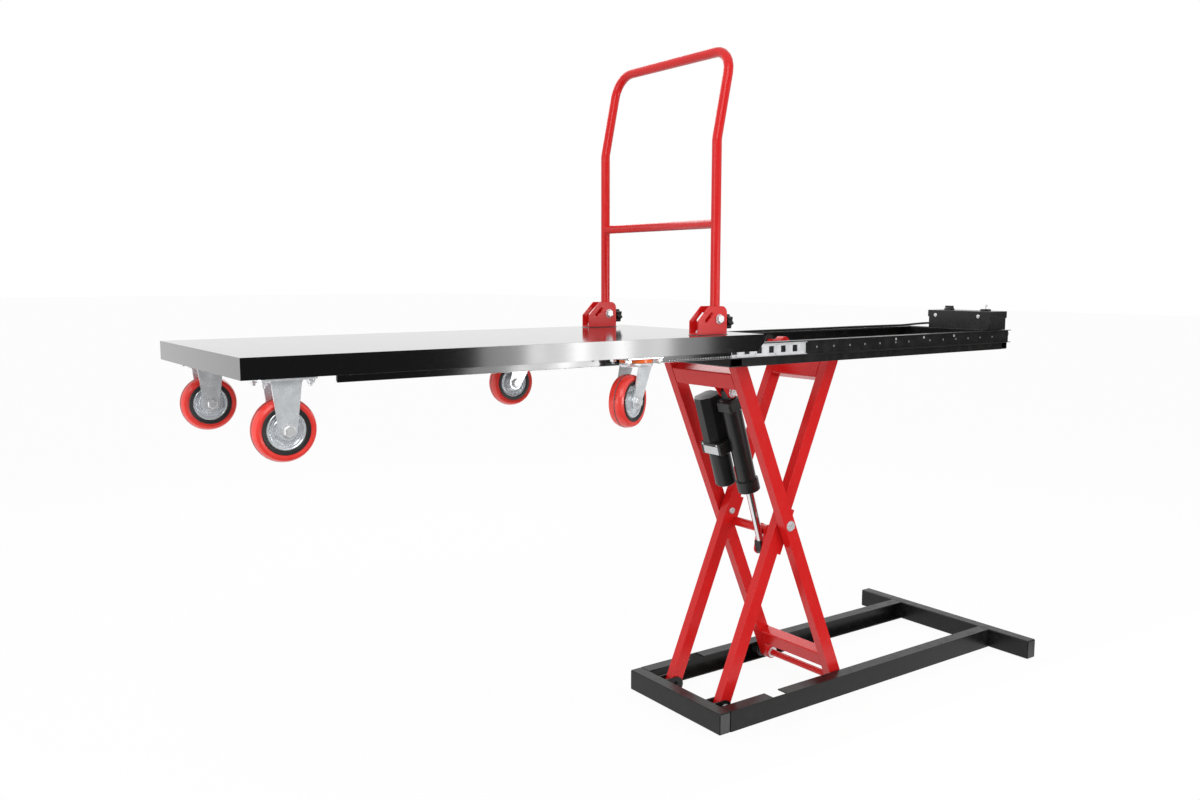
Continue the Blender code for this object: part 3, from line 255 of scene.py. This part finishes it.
FINISH = {
    "scissor_red": gloss_red_paint(),
    "deck_black": gloss_black_paint("gloss_black_paint", 0.8),
    "handle_black": gloss_black_paint("gloss_black_handle_paint", 0.4),
    "frame_black": satin_black_paint(),
    "fork_zinc": zinc_plate("bright_zinc_pressing", (0.88, 0.91, 0.94), 0.20),
    "bolt_zinc": zinc_plate("zinc_fastener", (0.82, 0.83, 0.84), 0.22),
    "slide_zinc": zinc_plate("zinc_slide", (0.80, 0.81, 0.82), 0.26),
    "rod_chrome": chrome_plate(),
    "wheel_pu": cast_polyurethane(
        "red_polyurethane", (0.80, 0.040, 0.028), (0.72, 0.028, 0.020)
    ),
    "ring_orange": cast_polyurethane(
        "orange_seal_ring", (0.90, 0.16, 0.014), (0.80, 0.12, 0.012)
    ),
    "knob_plastic": moulded_black("moulded_knob", 0.010, 0.36),
    "box_black": moulded_black("enamelled_box", 0.008, 0.26),
    "actuator_black": moulded_black("cast_actuator_shell", 0.011, 0.34),
    "roller_black": moulded_black("roller_steel", 0.022, 0.42),
    "cable_black": moulded_black("cable_sheath", 0.009, 0.48),
    "core_grey": moulded_black("dark_wheel_core", 0.020, 0.36),
    "parting_grey": moulded_black("tread_parting_line", 0.075, 0.50),
    "plug_grey": moulded_black("tube_plug", 0.055, 0.40),
    "plug_black": moulded_black("dark_tube_plug", 0.030, 0.42),
    "screw_dull": zinc_plate("dull_screw", (0.30, 0.30, 0.31), 0.40),
    "label": bare_label(),
}
FINISH["handle_red"] = FINISH["scissor_red"]
FINISH["lever_chrome"] = FINISH["rod_chrome"]


# Modelling helpers

BEVEL_ANGLE = 40
SMOOTH_ANGLE = 35
NORMAL_WEIGHT = 80
WELD_DISTANCE = 1e-5
RING_WELD_DISTANCE = 1e-6
# The step that keeps two touching surfaces apart
HAIR = 0.0001


def only(piece):
    """Object mode, with one piece selected and active."""
    if bpy.context.mode != "OBJECT":
        bpy.ops.object.mode_set(mode="OBJECT")
    bpy.ops.object.select_all(action="DESELECT")
    piece.select_set(True)
    bpy.context.view_layer.objects.active = piece


def edited(piece):
    """Edit mode, with all points of one piece selected."""
    only(piece)
    bpy.ops.object.mode_set(mode="EDIT")
    bpy.ops.mesh.select_mode(type="VERT")
    bpy.ops.mesh.select_all(action="SELECT")


def settled(piece):
    """Puts the piece's place into its mesh."""
    only(piece)
    bpy.ops.object.transform_apply(location=True, rotation=True, scale=True)
    return piece


def bevelled(piece, width, segments):
    """Soft edges where two faces meet at more than BEVEL_ANGLE."""
    only(piece)
    edge = piece.modifiers.new("edge", "BEVEL")
    edge.width = width
    edge.segments = segments
    edge.limit_method = "ANGLE"
    edge.angle_limit = math.radians(BEVEL_ANGLE)
    bpy.ops.object.modifier_apply(modifier=edge.name)
    return piece


def smoothed(piece, angle=SMOOTH_ANGLE):
    only(piece)
    bpy.ops.object.shade_smooth_by_angle(angle=math.radians(angle))
    return piece


def levelled(piece):
    """Leaves large flat faces shaded flat, with all the turn in the soft edges."""
    only(piece)
    weights = piece.modifiers.new("weights", "WEIGHTED_NORMAL")
    weights.keep_sharp = True
    weights.weight = NORMAL_WEIGHT
    bpy.ops.object.modifier_apply(modifier=weights.name)
    return piece


def turned(sections, sides=32, closed=False):
    """A shape about Z: a circle extruded and resized section by section.

    A closed shape is a ring whose last section meets its first.
    """
    radius, height = sections[0]
    bpy.ops.object.select_all(action="DESELECT")
    bpy.ops.mesh.primitive_circle_add(
        vertices=sides, radius=radius, fill_type="NOTHING" if closed else "NGON",
        location=(0, 0, height),
    )
    piece = settled(bpy.context.object)
    edited(piece)
    for next_radius, next_height in sections[1:] + (sections[:1] if closed else []):
        bpy.ops.mesh.extrude_region_move(
            TRANSFORM_OT_translate={"value": (0, 0, next_height - height)}
        )
        if next_radius != radius:
            scale = next_radius / radius
            bpy.ops.transform.resize(value=(scale, scale, 1), center_override=(0, 0, 0))
        radius, height = next_radius, next_height
    bpy.ops.mesh.select_all(action="SELECT")
    bpy.ops.mesh.remove_doubles(threshold=RING_WELD_DISTANCE)
    bpy.ops.mesh.normals_make_consistent(inside=False)
    return smoothed(piece, 30)


def hexagon_bolt(across, height, washer):
    """A chamfered hexagon head about Z, on a washer of a given radius."""
    radius = across / math.sqrt(3)
    lift = MM * 1.2
    sections = [
        (radius, lift), (radius, lift + height * 0.82),
        (radius * 0.86, lift + height), (radius * 0.3, lift + height),
    ]
    head = turned(sections, 6)
    smoothed(head, 20)
    disc = turned([(washer, 0), (washer, lift * 0.9), (washer * 0.94, lift)], 28)
    return merged([head, disc])


def merged(pieces):
    """One piece made of several, under the first one's name."""
    only(pieces[0])
    for piece in pieces:
        piece.select_set(True)
    bpy.ops.object.join()
    return bpy.context.object


def aimed(direction, place):
    """The turn from Z to a direction, and the move to a place."""
    turn = Vector((0, 0, 1)).rotation_difference(Vector(direction))
    return Matrix.Translation(place) @ turn.to_matrix().to_4x4()


def copied(piece, matrix):
    copy = piece.copy()
    copy.data = piece.data.copy()
    bpy.context.collection.objects.link(copy)
    copy.data.transform(matrix)
    return copy


def fitted(piece, name, finish, body, *replaced):
    """Names a piece, paints it, and hangs it on its body."""
    piece.name = name
    piece.data.name = name
    piece.data.materials.clear()
    piece.data.materials.append(FINISH[finish])
    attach(piece, body)
    if replaced:
        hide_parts(*replaced)
    return piece


def scattered(pattern, name, finish, body, places):
    """Copies of one piece at several places, joined, and the pattern removed."""
    copies = [copied(pattern, matrix) for matrix in places]
    bpy.data.objects.remove(pattern, do_unlink=True)
    return fitted(merged(copies), name, finish, body)


def head_pair(name, body, centre, reach, head, axis=(0, 1, 0)):
    """Hexagon heads at both ends of a bolt, a reach from its centre."""
    axis = Vector(axis).normalized()
    places = [
        aimed(axis * side, Vector(centre) + axis * side * reach) for side in (-1, 1)
    ]
    return scattered(hexagon_bolt(*head), name, "bolt_zinc", body, places)


def skinned(node, width=0.0008, segments=2, finish=None):
    """A copy of a solid that stands for it, with soft edges unless width is 0."""
    source = frame["nodes"][node]
    copy = source.copy()
    copy.data = source.data.copy()
    copy.parent = None
    bpy.context.collection.objects.link(copy)
    copy.matrix_world = Matrix.Identity(4)
    edited(copy)
    bpy.ops.mesh.remove_doubles(threshold=WELD_DISTANCE)
    bpy.ops.mesh.dissolve_limited(angle_limit=math.radians(0.5))
    if width:
        bevelled(copy, width, segments)
    smoothed(copy)
    if width:
        levelled(copy)
    return fitted(copy, f"{node}_skin", finish or SLOT_OF[node], BODY_OF[node], node)


# Camera, light and floor

# Each lamp's place and size in metres, and its power in watts
LAMPS = {
    "key_light": ((-2.4, -2.6, 3.4), (2.2, 2.2), 52),
    "fill_light": ((2.8, -2.4, 2.2), (2.0, 2.4), 12),
    "back_light": ((0.6, 3.0, 2.8), (3.0, 1.6), 34),
    "side_light": ((-3.6, -0.6, 1.3), (1.8, 1.8), 26),
    "window_edge_left": ((0.97, -3.2, 0.88), (0.34, 0.70), 2.4),
    "window_left": ((1.26, -3.2, 0.88), (0.34, 0.70), 5.8),
    "window_middle": ((1.55, -3.2, 0.88), (0.34, 0.70), 6.4),
    "window_right": ((1.84, -3.2, 0.88), (0.34, 0.70), 5.0),
    "window_edge_right": ((2.13, -3.2, 0.88), (0.34, 0.70), 1.8),
}
LAMP_TARGET = Vector((0, 0, 0.8))
NEAR_FLOOR_EDGE = -0.42
FLOOR_SPAN = 60
FLOOR_DROP = 0.0006
DIFFUSE_LEVEL = 0.70
NEAR_MIRROR_LEVEL = 0.07
FAR_MIRROR_LEVEL = 0.90
PAPER_GLOW = 0.94


def set_stage():
    scene = bpy.context.scene
    scene.view_settings.view_transform = "Standard"
    lens = bpy.data.cameras.new("camera")
    lens.sensor_width = SENSOR_WIDTH
    lens.lens = FOCAL_PIXELS / IMAGE_WIDTH * SENSOR_WIDTH
    camera = bpy.data.objects.new("camera", lens)
    camera.location = at(*CAMERA_SPOT)
    camera.rotation_euler = (math.pi / 2 - CAMERA_DIP, 0, -CAMERA_TURN)
    scene.collection.objects.link(camera)
    scene.camera = camera

    for name, (place, size, power) in LAMPS.items():
        light = bpy.data.lights.new(name, "AREA")
        light.shape = "RECTANGLE"
        light.size, light.size_y = size
        light.energy = power
        lamp = bpy.data.objects.new(name, light)
        lamp.location = place
        aim = LAMP_TARGET - Vector(place)
        lamp.rotation_euler = aim.to_track_quat("-Z", "Y").to_euler()
        scene.collection.objects.link(lamp)

    world = bpy.data.worlds.new("studio")
    world.use_nodes = True
    scene.world = world
    light_room(world.node_tree)

    bpy.ops.mesh.primitive_plane_add(
        size=FLOOR_SPAN,
        location=(0, FLOOR_SPAN / 2 + NEAR_FLOOR_EDGE, -FLOOR_DROP),
    )
    floor = settled(bpy.context.object)
    floor.name = "floor"
    floor.data.materials.append(white_paper())


def light_room(tree):
    """A white room, darker in reflections of its near side."""
    sky = tree.nodes["Background"]
    sky.inputs["Color"].default_value = (1, 1, 1, 1)
    place = tree.nodes.new("ShaderNodeTexCoord").outputs["Generated"]
    parts = tree.nodes.new("ShaderNodeSeparateXYZ")
    tree.links.new(place, parts.inputs[0])
    levels = (NEAR_MIRROR_LEVEL, FAR_MIRROR_LEVEL)
    behind = stretched(tree, parts.outputs["Y"], (-0.35, 0.15), levels)
    above = stretched(tree, parts.outputs["Z"], (0.45, 0.85), levels)
    mirrored = larger(tree, behind, above)
    path = tree.nodes.new("ShaderNodeLightPath")
    glossy = larger(
        tree, path.outputs["Is Glossy Ray"], path.outputs["Is Transmission Ray"]
    )
    level = chosen(tree, glossy, DIFFUSE_LEVEL, mirrored)
    level = chosen(tree, path.outputs["Is Camera Ray"], level, 1.0)
    tree.links.new(level, sky.inputs["Strength"])


def stretched(tree, value, source, target):
    """A value's range source mapped to the range target."""
    made = tree.nodes.new("ShaderNodeMapRange")
    tree.links.new(value, made.inputs[0])
    for socket, limit in zip(made.inputs[1:5], (*source, *target)):
        socket.default_value = limit
    return made.outputs[0]


def larger(tree, first, second):
    made = tree.nodes.new("ShaderNodeMath")
    made.operation = "MAXIMUM"
    tree.links.new(first, made.inputs[0])
    tree.links.new(second, made.inputs[1])
    return made.outputs[0]


def chosen(tree, factor, first, second):
    """The first value where the factor is 0 and the second where it is 1."""
    made = tree.nodes.new("ShaderNodeMix")
    tree.links.new(factor, made.inputs[0])
    for socket, value in ((made.inputs[2], first), (made.inputs[3], second)):
        if isinstance(value, bpy.types.NodeSocket):
            tree.links.new(value, socket)
        else:
            socket.default_value = value
    return made.outputs[0]


def white_paper():
    """Paper that the camera and reflections see as white, with its shadow."""
    paper = bpy.data.materials.new("white_paper")
    paper.use_nodes = True
    tree = paper.node_tree
    surface = tree.nodes["Principled BSDF"]
    surface.inputs["Base Color"].default_value = (0.9, 0.9, 0.9, 1)
    surface.inputs["Roughness"].default_value = 0.9
    glow = tree.nodes.new("ShaderNodeEmission")
    glow.inputs["Color"].default_value = (1, 1, 1, 1)
    path = tree.nodes.new("ShaderNodeLightPath")
    seen = larger(tree, path.outputs["Is Camera Ray"], path.outputs["Is Glossy Ray"])
    seen = larger(tree, seen, path.outputs["Is Transmission Ray"])
    mix = tree.nodes.new("ShaderNodeMixShader")
    tree.links.new(stretched(tree, seen, (0, 1), (0, PAPER_GLOW)), mix.inputs[0])
    tree.links.new(surface.outputs[0], mix.inputs[1])
    tree.links.new(glow.outputs[0], mix.inputs[2])
    output = tree.nodes["Material Output"]
    tree.links.new(mix.outputs[0], output.inputs["Surface"])
    return paper


# Casters

WHEEL_HALF = 0.020
FORK_CHEEK = 0.0270
PLATE_THICKNESS = 0.0040
NUT_SPOTS = [(x, y) for x in (-0.045, 0.045) for y in (-0.030, 0.030)]

# Radius and height of each section, from one wheel's middle outwards
RIM = [
    (0.0475, 0.0), (0.0475, 0.0186), (0.0462, 0.0196), (0.0405, 0.0188),
    (0.0386, 0.0170), (0.0386, 0.0),
]
DISH = [
    (0.0384, 0.002), (0.0384, 0.0164), (0.0368, 0.0172), (0.0350, 0.0160),
    (0.0336, 0.0104), (0.0310, 0.0090), (0.0296, 0.0102), (0.0280, 0.0088),
    (0.0240, 0.0080), (0.0222, 0.0092), (0.0206, 0.0082), (0.0192, 0.0112),
    (0.0176, 0.0170), (0.0138, 0.0186), (0.0126, 0.0222), (0.0072, 0.0224),
    (0.0072, 0.002),
]


def dress_wheel(node):
    """Tread, parting line, dark rim and dished hub of one caster wheel."""
    body = BODY_OF[node]
    joint = JOINT_INTO[body]
    place = aimed(joint["axis"], joint["pos_m"])
    radius = (high(node).z - low(node).z) / 2
    half = [
        (0.0475, WHEEL_HALF - 0.0022), (radius - 0.0095, WHEEL_HALF - 0.0004),
        (radius - 0.0045, WHEEL_HALF - 0.0028), (radius - 0.0012, WHEEL_HALF - 0.0095),
        (radius, 0.0012), (radius - 0.0005, 0),
    ]
    other_half = [(across, -height) for across, height in half[-2::-1]]
    tread = turned(half + other_half, 64, closed=True)
    tread.data.transform(place)
    fitted(tread, f"{node}_tread", "wheel_pu", body, node)
    line = turned(
        [(radius - 0.001, -0.0013), (radius + 0.0002, -0.0012),
         (radius + 0.0002, 0.0012), (radius - 0.001, 0.0013)],
        64, closed=True,
    )
    line.data.transform(place)
    fitted(line, f"{node}_parting_line", "parting_grey", body)

    for side in (-1, 1):
        face = place @ Matrix.Diagonal((1, 1, side, 1))
        for sections, label, finish in (
            (RIM, "rim", "core_grey"), (DISH, "dish", "fork_zinc"),
        ):
            piece = turned(sections, 64, closed=True)
            turn_over(piece, face, side)
            fitted(piece, f"{node}_{label}_{side + 1}", finish, body)


def turn_over(piece, matrix, side):
    """Places a piece, with its faces set right again if it is mirrored."""
    piece.data.transform(matrix)
    if side < 0:
        edited(piece)
        bpy.ops.mesh.normals_make_consistent(inside=False)
        only(piece)


def dress_casters():
    for name in ("near", "far"):
        for kind in ("rigid", "swivel"):
            dress_wheel(f"{kind}_wheel_{name}")
            skinned(f"{kind}_fork_{name}", 0.0010, 2)
            axle_bolts(f"{kind}_wheel_{name}", f"{kind}_fork_{name}")
        skinned(f"swivel_plate_{name}", 0.0006, 1)
        dust_ring(name)
    plate_bolts()


def axle_bolts(wheel, fork):
    """Hexagon heads on washers, over the ends of one wheel's axle bolt."""
    joint = JOINT_INTO[BODY_OF[wheel]]
    head_pair(
        f"{fork}_axle_heads", BODY_OF[fork], joint["pos_m"], FORK_CHEEK + HAIR,
        (0.0198, 0.0072, 0.0135), joint["axis"],
    )


def dust_ring(name):
    """The orange ring between a swivel caster's plate and its fork."""
    turn = Vector(JOINT_INTO[f"swivel_fork_{name}_group"]["pos_m"])
    under = high(f"swivel_plate_{name}").z - PLATE_THICKNESS
    ring = turned(
        [(0.0345, -0.0088), (0.0392, -0.0088), (0.0400, -0.0080), (0.0400, -0.0010),
         (0.0392, -0.0002), (0.0345, -0.0002)],
        48, closed=True,
    )
    ring.data.transform(Matrix.Translation((turn.x, turn.y, under)))
    fitted(ring, f"swivel_ring_{name}", "ring_orange", "deck")


def plate_bolts():
    """Nuts and bolt ends below the four mounting plates."""
    for name in ("near", "far"):
        for node in (f"rigid_fork_{name}", f"swivel_plate_{name}"):
            centre = middle(node)
            if node.startswith("rigid"):
                centre = Vector(JOINT_INTO[f"rigid_wheel_{name}_group"]["pos_m"])
            under = high(node).z - PLATE_THICKNESS - 0.0003
            places = [
                aimed((0, 0, -1), (centre.x + x, centre.y + y, under))
                for x, y in NUT_SPOTS
            ]
            nut = merged([
                hexagon_bolt(0.0145, 0.0065, 0.0098),
                turned([(0.0040, 0.0), (0.0040, 0.0120), (0.0034, 0.0128)], 16),
            ])
            scattered(nut, f"{node}_nuts", "bolt_zinc", "deck", places)


# Frames and scissors

DRESSED_APART = ("wheel", "fork", "plate", "slide_middle")
PIVOT_HEAD = (0.0208, 0.0064, 0.0142)
PIVOT_STEP = 0.0052
LEG_WIDTH = 0.0280
GUSSET_THICKNESS = 0.0056
PLUG_SIZE = (0.0338, 0.0050, 0.0538)
PLUG_DEPTH = 0.0028
HALF_TUBE = 0.020


def dress_solids():
    """The other solids get soft edges, where they aren't round, and a finish."""
    for node in BODY_OF:
        if any(word in node for word in DRESSED_APART):
            continue
        if node == "push_handle":
            skinned(node, 0, finish="handle_black")
        elif node in ("folding_handle", "actuator_rod", "control_cable"):
            skinned(node, 0)
        elif node == "deck_tray":
            skinned(node, 0.0007)
        else:
            skinned(node)


def end_plug(name, tube, side, finish):
    """A plug in one open end of a rectangular tube that lies along Y."""
    lowest, highest = low(tube), high(tube)
    end = lowest.y if side < 0 else highest.y
    bpy.ops.object.select_all(action="DESELECT")
    bpy.ops.mesh.primitive_cube_add(size=1)
    plug = bpy.context.object
    plug.scale = PLUG_SIZE
    plug.location = (
        lowest.x + HALF_TUBE, end - side * PLUG_DEPTH, (lowest.z + highest.z) / 2
    )
    settled(plug)
    edited(plug)
    bpy.ops.mesh.select_mode(type="FACE")
    bpy.ops.mesh.select_all(action="DESELECT")
    only(plug)
    for face in plug.data.polygons:
        face.select = face.normal.y * side > 0.9
    bpy.ops.object.mode_set(mode="EDIT")
    bpy.ops.mesh.inset(thickness=0.004, depth=-0.0010)
    bevelled(plug, 0.0006, 1)
    levelled(smoothed(plug))
    return fitted(plug, name, finish, BODY_OF[tube])


def dress_base():
    for name, side in (("near", -1), ("far", 1)):
        end_plug(f"base_front_plug_{name}", "base_front_tube", side, "plug_grey")
        end_plug(f"base_rear_plug_{name}", "base_rear_tube", side, "plug_black")
    for label, body, joint, leg in (
        ("base", "base", "inner_frame", "inner_leg_near"),
        ("upper", "upper_frame", "upper_frame", "outer_leg_near"),
    ):
        head_pair(
            f"{label}_pivot_heads", body, JOINT_INTO[joint]["pos_m"],
            PIVOT_STEP - low(leg).y, PIVOT_HEAD,
        )


def dress_scissors():
    """Washers beside the outer legs' lower ends, and the crossing's bolt heads."""
    roll = JOINT_INTO["base_rollers"]["pos_m"]
    washer = turned(
        [(0.0170, 0.0), (0.0170, 0.0016), (0.0160, 0.0022), (0.0103, 0.0022),
         (0.0103, 0.0)],
        32, closed=True,
    )
    outside = -low("outer_leg_near").y
    inside = outside - LEG_WIDTH - GUSSET_THICKNESS
    places = [
        aimed((0, side * turn, 0), (roll[0], side * face, roll[2]))
        for side in (-1, 1)
        for turn, face in ((1, outside + HAIR), (-1, inside - HAIR))
    ]
    scattered(washer, "bottom_axle_washers", "bolt_zinc", "outer_frame", places)

    head_pair(
        "centre_bolt_heads", "outer_frame", JOINT_INTO["outer_frame"]["pos_m"],
        outside + 0.0004, (0.0208, 0.0064, 0.0150),
    )


# Actuator

LABEL_SIZE = (0.060, 0.024, 1)
LABEL_THICKNESS = 0.0004
LABEL_HEIGHT = 0.0155
REAR_LUG_REACH = 0.0208
REAR_EYE_INSET = 0.014


def reach(node, direction):
    """The least and the most that a node reaches along a direction."""
    spots = [vertex.co.dot(direction) for vertex in frame["nodes"][node].data.vertices]
    return min(spots), max(spots)


def dress_actuator():
    """The bare label, screws and rear pin of the linear actuator."""
    along = -Vector(JOINT_INTO["actuator_body_group"]["axis"]).normalized()
    sideways = Vector((0, 1, 0))
    out = along.cross(sideways).normalized()
    if out.x > 0:
        out = -out
    face = reach("gear_housing", out)[1]
    bottom, top = reach("gear_housing", along)
    left, right = reach("gear_housing", sideways)
    turn = Matrix((sideways, along, out)).transposed().to_4x4()

    bpy.ops.object.select_all(action="DESELECT")
    bpy.ops.mesh.primitive_plane_add(size=1)
    label = bpy.context.object
    label.scale = LABEL_SIZE
    settled(label)
    edited(label)
    bpy.ops.mesh.extrude_region_move(
        TRANSFORM_OT_translate={"value": (0, 0, LABEL_THICKNESS)}
    )
    bpy.ops.mesh.select_all(action="SELECT")
    bpy.ops.mesh.normals_make_consistent(inside=False)
    centre = (
        sideways * (left + right) / 2 + along * (bottom + LABEL_HEIGHT)
        + out * (face + HAIR)
    )
    only(label)
    label.data.transform(Matrix.Translation(centre) @ turn)
    fitted(label, "actuator_label", "label", "actuator_body_group")

    screw = turned(
        [(0.0032, 0.0), (0.0032, 0.0012), (0.0022, 0.0020), (0.0010, 0.0014)], 16
    )
    places = [
        Matrix.Translation(
            sideways * y + along * (top - 0.0055) + out * (face + HAIR)
        ) @ turn
        for y in (left + 0.014, right - 0.012)
    ]
    scattered(screw, "housing_screws", "bolt_zinc", "actuator_body_group", places)

    rod = Vector(JOINT_INTO["actuator_rod_group"]["pos_m"])
    end = reach("actuator_tube", along)[1]
    head_pair(
        "rear_pin_heads", "outer_frame",
        rod + along * (end - rod.dot(along) - REAR_EYE_INSET),
        REAR_LUG_REACH, (0.0208, 0.0064, 0.0140),
    )


# Slides and deck

# Millimetres from the base's front, and above the floor
SCREW_ROW = (336, 404, 470, 533, 598, 668, 727, 825, 888, 951, 1012, 1073, 1136)
SCREW_HEIGHT = 1037
RIVET_ROW = (668, 796, 941)
RIVET_HEIGHT = 1047

SLIDE_WEB = 0.0020
BALLS = 26
BALL_PITCH = 0.0084
BRACKET_CHEEK = 0.0178


def dress_slides():
    """Punched middle members, and flush screws along the outer ones."""
    for name, side in (("near", -1), ("far", 1)):
        skinned(f"slide_middle_{name}", 0.0003, 1)
        node = f"slide_outer_{name}"
        web = (-high(node).y if side < 0 else low(node).y) + SLIDE_WEB
        for row, height, radius, finish, label in (
            (SCREW_ROW, SCREW_HEIGHT, 0.0030, "screw_dull", "screws"),
            (RIVET_ROW, RIVET_HEIGHT, 0.0038, "bolt_zinc", "rivets"),
        ):
            head = turned(
                [(radius, 0.0), (radius, 0.00016), (radius * 0.8, 0.00024),
                 (radius * 0.3, 0.00010)], 16,
            )
            places = [
                aimed((0, side, 0), at(x, side * (web + 0.00002) / MM, height))
                for x in row
            ]
            scattered(head, f"{node}_{label}", finish, "upper_frame", places)
        ball_row(name, side)


def ball_row(name, side):
    """The row of bearing balls that shows below the deck's skirt."""
    rail = f"deck_rail_{name}"
    lowest, highest = low(rail), high(rail)
    face = highest.y - 0.0170 if side > 0 else lowest.y + 0.0170
    ball = turned(
        [(0.0024, 0.0), (0.0022, 0.0005), (0.0015, 0.0009), (0.0006, 0.0011)], 10
    )
    places = [
        aimed(
            (0, side, 0),
            (highest.x - 0.004 - index * BALL_PITCH, face, lowest.z + 0.0042),
        )
        for index in range(BALLS)
    ]
    scattered(ball, f"{rail}_balls", "bolt_zinc", "deck", places)


def dress_brackets():
    """Pivot heads and foot bolts of the folding handle's brackets."""
    hinge = Vector(JOINT_INTO["folding_handle_group"]["pos_m"])
    for name in ("near", "far"):
        node = f"handle_bracket_{name}"
        lowest = low(node)
        centre = JOINT_INTO[f"star_knob_{name}_group"]["pos_m"][1]
        head_pair(
            f"{node}_heads", "deck", (hinge.x, centre, hinge.z),
            BRACKET_CHEEK + 0.0003, (0.0186, 0.0062, 0.0118),
        )
        feet = [
            aimed((0, 0, 1), (lowest.x + dx, centre, lowest.z + 0.0047))
            for dx in (0.016, 0.070)
        ]
        scattered(
            hexagon_bolt(0.0125, 0.0052, 0.0085), f"{node}_foot_bolts", "bolt_zinc",
            "deck", feet,
        )


# Control box

def dress_box():
    """The lid's screws, the toggle's bezel and the cable gland's nut."""
    lowest, highest = low("control_box_lid"), high("control_box_lid")
    screw = turned(
        [(0.0062, 0.0), (0.0060, 0.0014), (0.0044, 0.0028), (0.0020, 0.0030)], 20
    )
    places = [
        aimed((-1, 0, 0), (lowest.x - HAIR, y, lowest.z + 0.0060))
        for y in (0.024, -0.141)
    ]
    scattered(screw, "lid_screws", "bolt_zinc", "upper_frame", places)

    tilt = JOINT_INTO["toggle_lever_group"]["pos_m"]
    bezel = turned(
        [(0.0076, 0.0), (0.0172, 0.0), (0.0168, 0.0050), (0.0152, 0.0064),
         (0.0090, 0.0064), (0.0076, 0.0052)],
        36, closed=True,
    )
    bezel.data.transform(Matrix.Translation((tilt[0], tilt[1], highest.z - 0.0029)))
    fitted(bezel, "toggle_bezel", "knob_plastic", "upper_frame")

    lowest, highest = low("control_box"), high("control_box")
    gland = turned(
        [(0.0094, 0.0), (0.0094, 0.0060), (0.0084, 0.0070), (0.0070, 0.0070),
         (0.0070, 0.0075)],
        24,
    )
    centre = (lowest.x + highest.x) / 2
    gland.data.transform(
        aimed((0, 1, 0), (centre, highest.y + 0.0003, lowest.z + 0.014))
    )
    fitted(gland, "cable_gland", "knob_plastic", "upper_frame")


set_stage()
dress_casters()
dress_solids()
dress_base()
dress_scissors()
dress_actuator()
dress_slides()
dress_brackets()
dress_box()
